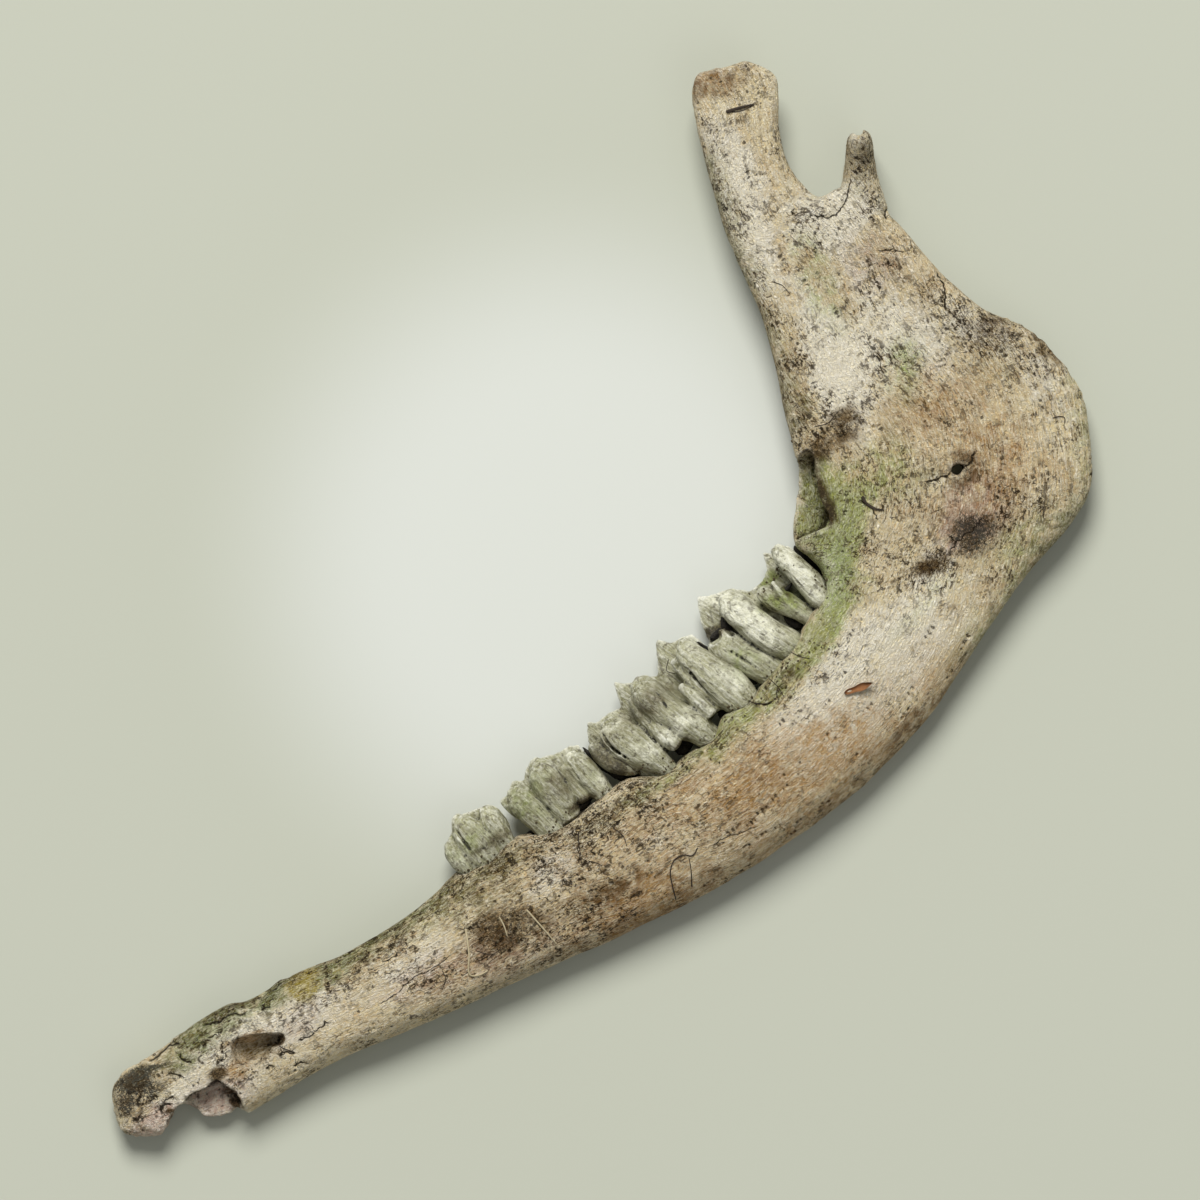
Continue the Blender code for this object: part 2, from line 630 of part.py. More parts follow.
def main():
    for old in list(bpy.data.objects):
        bpy.data.objects.remove(old)
    parts = bpy.data.collections.new("elk_jawbone")
    cutters = bpy.data.collections.new("jaw_cutters")
    for collection in (parts, cutters):
        bpy.context.scene.collection.children.link(collection)
    jawbone(parts, cutters)
    teeth(parts, cutters)


main()
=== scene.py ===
"""Looks of the elk jawbone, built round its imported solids.

Values are millimetres in the frame of the solids' source: x from the chin back to the angle of the
jaw, y from the lower border up to the teeth, z up from the surface that the inner side rests on.
place() turns them to metres about the middle of the jaw.
"""

import math

import bmesh
import bpy
import numpy as np
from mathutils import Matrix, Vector
from mathutils.bvhtree import BVHTree


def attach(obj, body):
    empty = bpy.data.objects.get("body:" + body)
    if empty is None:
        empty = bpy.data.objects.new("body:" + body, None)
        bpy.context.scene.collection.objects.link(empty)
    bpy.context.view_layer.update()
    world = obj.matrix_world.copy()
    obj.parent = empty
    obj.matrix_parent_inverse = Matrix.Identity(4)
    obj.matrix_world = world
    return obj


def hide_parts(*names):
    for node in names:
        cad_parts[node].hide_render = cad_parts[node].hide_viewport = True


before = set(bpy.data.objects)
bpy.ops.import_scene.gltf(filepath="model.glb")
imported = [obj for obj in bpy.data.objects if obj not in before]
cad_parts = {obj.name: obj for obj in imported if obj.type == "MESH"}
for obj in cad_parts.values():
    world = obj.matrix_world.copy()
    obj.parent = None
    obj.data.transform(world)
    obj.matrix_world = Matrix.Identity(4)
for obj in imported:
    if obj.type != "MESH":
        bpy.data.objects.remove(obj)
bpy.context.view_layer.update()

# A millimetre in metres, and the place in the source's frame that becomes the origin.
MM = 0.001
MIDDLE = np.array([117.15, 64.55, 0.0])

# Sizes of the mesh cells, in millimetres: of the bone, a tooth, and the room cut round a tooth.
BONE_CELL = 0.36
TOOTH_CELL = 0.22
ROOM_CELL = 0.6
# Share of the bone's triangles kept on its inner side, and then of all when its relief is done: it
# loses them where it is smooth.
INNER_SHARE = 0.72
KEPT_SHARE = 0.6
# Places where the ribs are read along the bone, and height above which no piece reaches.
RIB_READS = 420
ABOVE_ALL = 24.0
# Gap between a tooth and its socket.
SOCKET_GAP = 0.35
# Cracks and crumbs lie only where the surface is at least this high, on the cheek side.
LOWEST_CRACK = 4.0
LOWEST_CRUMB = 3.0

# Each rib crosses the bone: x, y of its upper or front end, then x, y of its lower or rear end.
RIBS = (
    (0.9, 33.4, 0.7, 31.4), (2, 36.2, 2.6, 29.7), (3.6, 39.3, 4.6, 28), (6.4, 40.6, 6.8, 26.6),
    (9.6, 40.8, 10, 25.6), (15, 40.4, 15, 23.2), (20, 40.3, 20.3, 20.6), (26, 40.1, 26, 19.8),
    (31.5, 39.5, 32, 19.5), (34.5, 37.9, 37, 18.9), (43, 37, 44, 17.8), (52.4, 34.5, 54, 15.3),
    (64.3, 32.8, 65, 12.7), (76, 32.8, 77.4, 10), (82, 33.6, 84, 8.5), (89, 32.4, 91, 7.1),
    (95.7, 32.2, 98, 5.3), (99.5, 30.1, 102, 4.5), (104, 28.5, 107, 3.6), (112, 28.8, 113.5, 2.4),
    (119.5, 28.4, 121, 1.3), (124.5, 25.8, 126, 0.8), (131, 25.5, 132, 0.35),
    (137.5, 25.5, 138.5, 0.15), (141, 27.2, 142.5, 0), (146, 26.9, 148, 0.1), (153, 28.4, 155.5, 0.5),
    (160, 30.2, 163, 1.6), (165.5, 32.8, 172, 3.4), (170.2, 34.8, 182, 6.8), (172.6, 38.2, 193, 10.7),
    (172.3, 42, 205, 14.5), (171.5, 45.2, 216, 16.9), (173.4, 48.5, 223.5, 20.2), (176, 51, 229.3, 28),
    (178.8, 54.7, 233.6, 38), (181.2, 58, 233.2, 46.5), (182.9, 61.5, 231.4, 53.6),
    (185, 66.8, 227.7, 60), (187.9, 72.8, 225.6, 68), (190.6, 79.2, 224.6, 75.5),
    (193, 85.8, 224.2, 82.5), (194.3, 91.5, 222.8, 89.4), (195.1, 95, 219.6, 95.2),
    (195.7, 97.4, 215.3, 96.1), (196.8, 101.8, 213.9, 100.6), (198.4, 106.4, 214.3, 105.4),
    (200.6, 112.5, 216.9, 111.6), (202.7, 117.6, 220.2, 116.2), (204.8, 122.2, 222.2, 119.8),
    (206.8, 126.1, 221, 123.2), (208.7, 128.3, 218.9, 125.8), (210.4, 129.3, 215.6, 126.7),
    (211.3, 129.1, 213.2, 127.6),
)
# Rib number, height of the inner face at the upper end, middle and lower end, thickness at the
# same three, and depth of the rounding at the two ends.
BUILD = (
    (0, 3.2, 3.2, 3.2, 2.4, 2.6, 2.4, 0.9, 0.9), (2, 1.4, 0.8, 1.4, 6, 7, 6, 2.6, 2.6),
    (4, 0.8, -0.4, 1.2, 7, 9, 6, 3.4, 2.8), (8, 1.2, 0.2, 1.4, 8, 11, 7, 4, 3.5),
    (11, 1.4, 0.6, 1.4, 7.4, 11.5, 7.5, 3.8, 3.8), (14, 1.2, -0.1, 1, 8.5, 12.8, 8, 3.5, 4.2),
    (16, 0.8, -0.5, 0.8, 10.5, 13.6, 8, 2.2, 4.5), (20, 0.8, -0.7, 0.8, 13, 15.3, 8.5, 2.2, 5),
    (25, 0.8, -0.7, 0.8, 14.5, 16.6, 8.5, 2.2, 5.5), (27, 1, -0.5, 1.2, 15, 16, 8, 2.4, 5.5),
    (29, 2, 1, 2.8, 13, 12.5, 7, 3, 5), (31, 3, 3.8, 4, 11, 8.2, 6, 4, 4.5),
    (33, 3.6, 5.6, 4.2, 10, 5.8, 5.5, 4.2, 4), (35, 4, 6.4, 3.6, 9.2, 4.6, 5.6, 4, 3.8),
    (38, 4.4, 6.6, 5, 8.6, 4.2, 6.6, 4, 4), (42, 5.2, 6.8, 5.8, 7.6, 4.2, 6.2, 3.8, 3.8),
    (45, 6, 7, 6.6, 6.4, 4.6, 4.6, 3.2, 2.6), (49, 6.8, 7.2, 7.2, 5, 4.6, 3.8, 2.6, 2.2),
    (51, 7.4, 7.6, 7.8, 4, 4, 3.2, 2, 1.8), (53, 8.4, 8.4, 8.6, 2, 2.2, 2, 0.9, 0.9),
)
# The neck and head of the condyle, in the same two forms.
NECK_RIBS = (
    (209, 82, 218.5, 75.5), (213, 88.5, 222.4, 82), (217.3, 93.4, 225, 88.4), (220.6, 96.2, 226.6, 93),
    (222.9, 98.4, 228, 95.9), (224.6, 100.2, 229.1, 98), (225.8, 101.5, 229.8, 99.6),
    (226.9, 102.2, 229.7, 101), (227.8, 102.2, 229, 101.8),
)
NECK_BUILD = (
    (0, 8.4, 8.4, 8.4, 1.4, 1.4, 1.4, 0.7, 0.7), (1, 7.4, 7.4, 7.4, 3, 3.2, 3, 1.5, 1.5),
    (2, 6.4, 6.2, 6.4, 5, 5.4, 5, 2.5, 2.5), (3, 4.6, 4.2, 4.6, 8.2, 8.8, 8.2, 3.2, 3.2),
    (4, 2.2, 1.8, 2.2, 12.4, 13.2, 12.4, 2.7, 2.7), (5, 0.2, -0.2, 0.2, 17.2, 18, 17.2, 2.4, 2.4),
    (6, -0.4, -0.4, -0.4, 18.8, 19.2, 18.8, 2.1, 2.1), (7, 0.8, 0.8, 0.8, 16.8, 16.8, 16.8, 1.4, 1.4),
    (8, 2.5, 2.5, 2.5, 13.4, 13.4, 13.4, 0.6, 0.6),
)
# Low forms of the cheek side and of the inner side: x, y of the middle, half length, half width,
# turn in degrees, rise.
CHEEK_FORMS = (
    (187.5, 76, 24, 2.6, 68, 1.3), (200.5, 110, 16, 2.2, 68, 0.7), (206, 72, 22, 8, 72, -1.3),
    (205, 47, 11, 12, 0, -0.6), (222, 70, 18, 3, 97, 0.7), (229.5, 42, 9, 2.6, 92, 0.8),
    (203, 24, 22, 4.5, 14, 1), (176, 40, 9, 4.5, 60, 0.9), (128, 19.5, 34, 3.6, 2, -0.5),
    (54, 30.5, 20, 2.4, -8, 0.5), (50, 25, 17, 2.2, -8, -0.4), (30, 36.5, 9, 2.2, 0, 0.5),
    (219.5, 88.5, 9, 4.5, 58, 1.1),
)
INNER_FORMS = (
    (217, 44, 13, 10, 30, -1.6), (205, 74, 20, 7, 75, -0.8), (228.5, 45, 11, 2.6, 95, 0.9),
    (135, 23.5, 38, 2.2, 4, 0.6), (128, 8, 40, 4, -3, -0.5), (14, 32, 9, 4.5, 20, 0.8),
    (219.5, 88.5, 9, 4.5, 58, 1.1),
)

# Broken and open places: x, y and the height of the floor under each point.
BROKEN_CHIN = (
    (4, 14, -5), (22, 14, -5), (22, 20.6, -5), (21.4, 22.3, -5), (19.3, 22.3, -5), (17.6, 23.2, -5),
    (15.8, 24.4, -5), (14.7, 25.9, -5), (14.1, 28.1, -5), (13.2, 29.4, -5), (9, 28.1, -5),
    (6.3, 26.7, -5),
)
LOST_CHEEK_WALL = (
    (12.8, 29.2, 4.6), (15.4, 30, 4.6), (18.2, 29.3, 4.6), (21.2, 29.1, 4.6), (22.2, 27.2, 4.6),
    (22.6, 24.6, 4.6), (21.9, 21, 4.6), (14, 21, 4.6),
)
# Broken edge of the cheek wall over the open crypt, from its upper to its lower end: x, y, and how
# fully the floor lies at its depth there.
CRYPT_EDGE = (
    (184.7, 59.4, 0), (184.8, 57.8, 0.35), (184.2, 55.9, 0.9), (182.8, 53.8, 1), (181.7, 51.4, 1),
    (180.8, 49, 1), (180.5, 46.8, 1), (179.9, 45.2, 1), (178.4, 44.6, 0.95),
)
# The crypt's floor across that edge: distance from the edge, height.
CRYPT_FLOOR = ((0.0, 4.6), (0.8, 6.0), (2.0, 7.4), (4.0, 8.8), (7.0, 9.8), (14.0, 10.2))
# Opening of the nerve canal at the chin, and height and size of its rings about their middle.
CHIN_HOLE = (
    (26.5, 31.9, 0), (28.3, 33.4, 0), (30.8, 32.5, 0), (33.2, 31, 0), (35.3, 29.6, 0), (36.6, 28.4, 0),
    (35.8, 27.4, 0), (33.7, 27.7, 0), (31.4, 26.7, 0), (29.1, 26.4, 0), (27, 28.4, 0), (25.8, 30, 0),
)
CHIN_HOLE_MIDDLE = (30.0, 29.7)
CHIN_HOLE_DEPTHS = ((20.0, 1.25), (10.9, 1.04), (9.8, 0.94), (8.6, 0.80), (7.4, 0.58), (6.6, 0.28))
# Where light reaches the floor of that hole, and the painted shade of the hollows is weaker:
# middle, half length, half width, turn, strength.
LIT_HOLE = ((30.6, 30.1, 4.6, 2.6, -20.0, 1.6),)
# Rods cut out of the bone: rows of x, y, z, half width along the bone, half width across it.
CANALS = (
    ((228.5, 102, -2, 1.1, 1.2), (228.5, 101.9, 22, 1.1, 1.2)),
    ((179.5, 57.5, 8.4, 3.2, 1.9), (181.6, 50.9, 8.1, 3.7, 2.2), (184, 43.5, 7.8, 3.8, 2)),
    ((35.5, 28.5, 16, 0.9, 0.8), (34.6, 28.6, 7, 0.8, 0.7)),
    ((31, 29.4, 8.4, 1.8, 1.8), (43, 28.2, 6.2, 1.3, 1.3)),
    ((203, 57, 2, 3, 3.4), (189, 44.5, 8, 1.7, 1.9)),
    ((205.2, 38.4, -2, 1.1, 1), (205, 38.5, 22, 1.25, 1.1)),
)

# Columns of the teeth, from the foot to the tip: x, y, z, half width along the row, half depth.
COLUMNS = {
    "premolar_2": (
        ((88.6, 30.8, 6.8, 3.2, 2.4), (88.4, 34, 7.2, 3.8, 2.8), (88.3, 37.5, 7.2, 3.3, 2.6),
         (88.2, 40.4, 6.9, 2.2, 1.8), (88.1, 42, 6.5, 1, 0.8)),
        ((84.8, 32.4, 6.6, 2.2, 2.2), (84.1, 35.2, 7, 2.3, 2.4), (84, 37.4, 6.8, 1.9, 1.8),
         (84.3, 38.8, 6.5, 1.2, 1.1)),
        ((92.8, 32.6, 6.8, 2, 2.2), (93, 35.6, 7, 2.3, 2.5), (93.3, 38.2, 6.8, 2.1, 2),
         (93.7, 39.8, 6.5, 1.4, 1.1)),
    ),
    "premolar_3": (
        ((101.6, 27.5, 7.8, 2, 2.6), (101, 31, 8.2, 2.6, 3), (100.4, 34.8, 8.2, 2.8, 2.9),
         (100, 37.8, 7.9, 2.6, 2.2), (99.9, 39.2, 7.5, 1.8, 1.3)),
        ((105.6, 29.6, 8, 2.6, 2.8), (105.8, 33, 8.5, 3.2, 3.3), (106.3, 37, 8.4, 3.2, 3),
         (106.6, 40.2, 8, 2.5, 2.2), (106.4, 41.4, 7.6, 1.4, 1.2)),
        ((113.8, 27.5, 7.9, 1.8, 2.6), (113.4, 31.5, 8.2, 2.5, 3), (113.1, 35, 8.2, 2.6, 2.8),
         (112.8, 37.4, 7.9, 2.2, 2), (112.8, 38.5, 7.5, 1.4, 1.2)),
        ((110.2, 30.6, 7.6, 1.8, 2.4), (110.2, 34, 7.8, 1.8, 2.4), (110.3, 37.4, 7.6, 1.4, 1.8)),
        ((98.6, 35.6, 7.2, 1.4, 1.6), (97.7, 38, 7.2, 1.2, 1.4), (97.5, 39.2, 7, 0.9, 0.9)),
    ),
    "premolar_4": (
        ((126.2, 24.5, 9.6, 2, 3), (125.6, 27.5, 10, 2.6, 3.6), (124.4, 31, 10.2, 3.6, 3.9),
         (122.9, 35, 10, 3.8, 3.5), (122.4, 38, 9.4, 3, 2.2), (122.4, 39, 9, 2, 1.3)),
        ((121.5, 29.5, 8.6, 1.8, 3), (119.2, 32, 8.8, 2.2, 3.2), (117.9, 35, 8.8, 1.9, 2.9),
         (117.6, 37.4, 8.6, 1.4, 1.8)),
        ((136, 24.8, 9.8, 2, 3), (135.2, 28.5, 10.2, 3, 3.8), (133.2, 32.5, 10.3, 3.5, 4),
         (132.2, 36, 10.2, 3.5, 3.8), (131.8, 40, 9.8, 3, 2.8), (131.9, 41.8, 9.3, 2.1, 1.4)),
        ((130, 30, 8.6, 2, 3), (128.9, 34, 8.9, 1.9, 3), (128.6, 37.5, 8.8, 1.5, 2.4),
         (128.8, 40, 8.6, 1, 1.4)),
        ((130.2, 28.4, 11.6, 1.6, 1.9), (129.7, 31.5, 12, 1.9, 2.1), (129, 33.9, 11.6, 1.2, 1.2)),
        ((146.2, 24.6, 9.8, 2.8, 3.2), (145.6, 27.5, 10.2, 3.5, 3.9), (144.9, 31, 10.4, 4, 4.1),
         (143.9, 35, 10.2, 3.4, 3.8), (142.9, 39, 9.8, 3, 3), (142.9, 42, 9.3, 2, 2),
         (143.3, 43.3, 9, 1, 1.1)),
        ((141.6, 29.5, 8.8, 2, 3.2), (140.6, 34, 9, 1.8, 3), (139.9, 38.5, 8.8, 1.4, 2.2),
         (139.8, 41.2, 8.6, 0.9, 1.2)),
        ((139.2, 29.2, 11.2, 1.4, 1.8), (138.6, 33, 11.6, 1.4, 1.8), (137.8, 36.6, 11.2, 0.9, 1)),
    ),
    "molar_1": (
        ((160.4, 27.5, 10, 2.6, 3.2), (159.2, 30.5, 10.5, 3, 3.7), (157.4, 34, 10.7, 3.2, 3.8),
         (155.6, 40, 10.4, 3, 3.4), (155.1, 43.6, 10, 2.8, 2.6), (155.3, 45, 9.6, 2.2, 1.5)),
        ((154.6, 27, 8.8, 2.8, 3.2), (153.2, 29.5, 9, 3.2, 3.6), (151.2, 33.5, 9.2, 3.1, 3.4),
         (149.6, 37, 9.3, 3.1, 2.8), (149, 39.2, 9.2, 2.9, 1.4)),
        ((169.6, 32, 9.8, 2, 3), (169.3, 34.5, 10.3, 2.4, 3.6), (169.4, 37, 10.5, 2.6, 3.7),
         (168.9, 42, 10.2, 2.2, 3.2), (168.4, 45.5, 9.8, 1.8, 2.2), (168.4, 46.8, 9.5, 1.3, 1.2)),
        ((166.2, 30.5, 8.6, 1.8, 2.8), (165.2, 33.6, 8.8, 1.8, 3.2), (163.6, 37, 9, 2.3, 3),
         (162, 40, 8.9, 2.3, 2.2), (160.9, 41.9, 8.8, 1.5, 1.2)),
        ((164.8, 33, 10.2, 0.8, 1.6), (163.9, 37.5, 10.8, 0.8, 1.5), (163.7, 42, 9.8, 0.6, 1.2)),
    ),
}
# Inner walls of the teeth, from front to rear: x, foot y, crest y, z, half thickness at the foot
# and at the crest.
CRESTS = {
    "premolar_2": (
        (82.5, 33.6, 37.2, 5.4, 1.2, 0.6), (84, 33, 39.4, 5.2, 1.4, 0.6),
        (86, 32.8, 40.6, 5.2, 1.4, 0.5), (88, 32.6, 42.3, 5.2, 1.4, 0.4),
        (90, 32.6, 41.7, 5.2, 1.4, 0.4), (92.4, 32.8, 41, 5.2, 1.4, 0.5),
        (94.6, 33.6, 40.2, 5.4, 1.2, 0.5), (95.7, 35, 38.8, 5.6, 0.9, 0.5),
    ),
    "premolar_3": (
        (97, 36, 39.2, 5.6, 1, 0.5), (98.6, 31.5, 39.7, 5, 1.5, 0.5), (100.9, 30, 41.5, 4.9, 1.7, 0.4),
        (102.6, 30, 40.3, 4.9, 1.7, 0.5), (104.2, 30, 41.7, 4.9, 1.7, 0.4),
        (107.2, 30.2, 41.9, 4.9, 1.7, 0.4), (109.4, 30.4, 41.2, 4.9, 1.7, 0.5),
        (111.6, 30.2, 40.5, 4.9, 1.7, 0.5), (113.8, 30, 40.3, 4.9, 1.6, 0.5),
        (115.5, 31, 39.2, 5.2, 1.2, 0.5),
    ),
    "premolar_4": (
        (116.8, 31, 38.4, 5.4, 1.4, 0.6), (118, 29, 40.4, 5, 1.9, 0.5), (119.3, 28, 42.1, 5, 2, 0.4),
        (120.6, 27.5, 40.6, 5, 2.1, 0.6), (123.8, 27, 40.9, 5, 2.2, 0.6),
        (126.2, 27, 40.1, 5, 2.2, 0.6), (127.2, 27.5, 43, 5, 2.2, 0.5),
        (127.9, 27.8, 45.2, 5, 2.2, 0.4), (129.4, 28.5, 43.5, 5, 2.2, 0.5),
        (132.8, 28, 42.3, 5, 2.2, 0.6), (135.4, 27.2, 41, 5, 2.2, 0.6),
        (137.2, 27.2, 43.4, 5, 2.2, 0.5), (138.6, 27.8, 46.2, 5, 2.2, 0.4),
        (139.6, 28.2, 46.7, 5, 2.2, 0.4), (141.2, 28.4, 44.5, 5, 2.2, 0.5),
        (143.6, 28, 44.1, 5, 2.2, 0.5), (145.4, 28.5, 43.4, 5.2, 1.9, 0.5),
        (146.4, 29.5, 40, 5.6, 1.4, 0.6),
    ),
    "molar_1": (
        (147.2, 31, 40.6, 5.6, 1.6, 0.7), (148.4, 29, 44.6, 5.2, 2.2, 0.6),
        (150.5, 28, 48.5, 5.1, 2.4, 0.5), (152.5, 28, 47.4, 5.1, 2.4, 0.5),
        (156.8, 28.5, 46.1, 5.1, 2.4, 0.6), (159.4, 29, 43.3, 5.2, 2.4, 0.7),
        (162.5, 29.5, 43.6, 5.2, 2.4, 0.7), (164.6, 30, 45, 5.2, 2.4, 0.5),
        (165.8, 30.5, 48.1, 5.2, 2.3, 0.4), (167.2, 31, 46.5, 5.2, 2.2, 0.5),
        (170.3, 32, 46.2, 5.4, 1.9, 0.5), (171.4, 34, 43.6, 5.8, 1.4, 0.6),
    ),
}
# Gaps and open folds cut into the teeth, in the same form as the columns.
FOLDS = {
    "premolar_2": (
        ((86.4, 42, 9.4, 0.35, 1.6), (86.6, 37, 10, 0.3, 1.4), (86.4, 34.6, 10.4, 0.25, 1.2)),
        ((91, 42, 9.4, 0.35, 1.6), (91.2, 37, 10.2, 0.3, 1.4)),
    ),
    "premolar_3": (
        ((103.2, 41.6, 10.8, 0.35, 2.2), (103, 36, 11.6, 0.3, 1.8), (103.4, 32, 11.8, 0.25, 1.4)),
        ((109.2, 41.6, 10.6, 0.4, 2), (109.3, 36, 11.2, 0.35, 1.6), (108.8, 32, 11.4, 0.3, 1.4)),
        ((111.6, 39.6, 10.2, 0.3, 1.4), (111.5, 34, 10.8, 0.25, 1.2)),
    ),
    "premolar_4": (
        ((126.3, 41.6, 11.6, 0.45, 2.6), (127, 36, 12.6, 0.35, 2.2), (127.5, 31, 13.4, 0.3, 1.6)),
        ((120.2, 39.6, 11.8, 0.35, 1.6), (120.2, 35, 12.2, 0.3, 1.4), (121.6, 31, 12.4, 0.25, 1.2)),
        ((135.7, 42.2, 11.4, 0.45, 2.8), (136.3, 37, 12.8, 0.4, 2.2), (136.8, 33.4, 13.6, 0.3, 1.6)),
        ((133.5, 39, 13.8, 0.25, 0.9), (133.1, 34.6, 14.4, 0.25, 0.9)),
        ((140.8, 37.8, 12.6, 0.35, 1.6), (141, 32.6, 13.2, 0.3, 1.4)),
        ((137.4, 41.6, 10.2, 1.3, 1.2), (139.4, 40.2, 10.8, 0.8, 1)),
    ),
    "molar_1": (
        ((148.3, 41.6, 10.8, 1.9, 3.4), (148.5, 40, 10.6, 1.5, 3.2)),
        ((151.5, 42.2, 11.4, 0.9, 3.4), (151.7, 38.8, 11.6, 0.7, 2.4)),
        ((158.4, 43.8, 11.6, 0.45, 3.4), (159.2, 39.6, 12, 0.4, 3.6), (161.2, 35.4, 12.2, 0.6, 3.8),
         (163, 32.2, 12.4, 0.9, 3.8)),
        ((164.9, 40.2, 11.2, 0.7, 1.8), (166, 38.4, 11.6, 0.6, 1.8)),
        ((149.4, 36.4, 12.4, 0.22, 1), (151.6, 30.8, 13, 0.22, 1)),
        ((167.4, 44, 13, 0.2, 0.9), (167.7, 36, 14, 0.2, 0.8)),
    ),
}
# Roots: rows of x, y, z, half width along the row, half depth.
ROOTS = {
    "premolar_2": (
        ((85.6, 34, 6.8, 2.9, 2.2), (86.3, 20.6, 6.8, 1.5, 1.3)),
        ((92.6, 34, 6.8, 2.1, 2.2), (93.3, 20.6, 6.8, 1.1, 1.3)),
    ),
    "premolar_3": (
        ((101.6, 31.9, 7.4, 3.4, 3), (102.7, 18.4, 7.4, 1.9, 1.7)),
        ((113.4, 31.9, 7.4, 2.1, 3), (114.5, 18.4, 7.4, 1.1, 1.7)),
    ),
    "premolar_4": (
        ((124.4, 28.3, 8.1, 3.2, 3.8), (127.6, 14.8, 8.1, 1.8, 2.2)),
        ((135.8, 28.3, 8.1, 2.7, 3.8), (139, 14.8, 8.1, 1.4, 2.2)),
        ((145.6, 28.3, 8.1, 3.1, 3.8), (148.8, 14.8, 8.1, 1.6, 2.2)),
    ),
    "molar_1": (
        ((156.9, 26.5, 8.4, 3.5, 4), (160.6, 12, 8.4, 1.8, 2.3)),
        ((167.7, 26.5, 8.4, 3.1, 4), (171.4, 12, 8.4, 1.6, 2.3)),
    ),
}
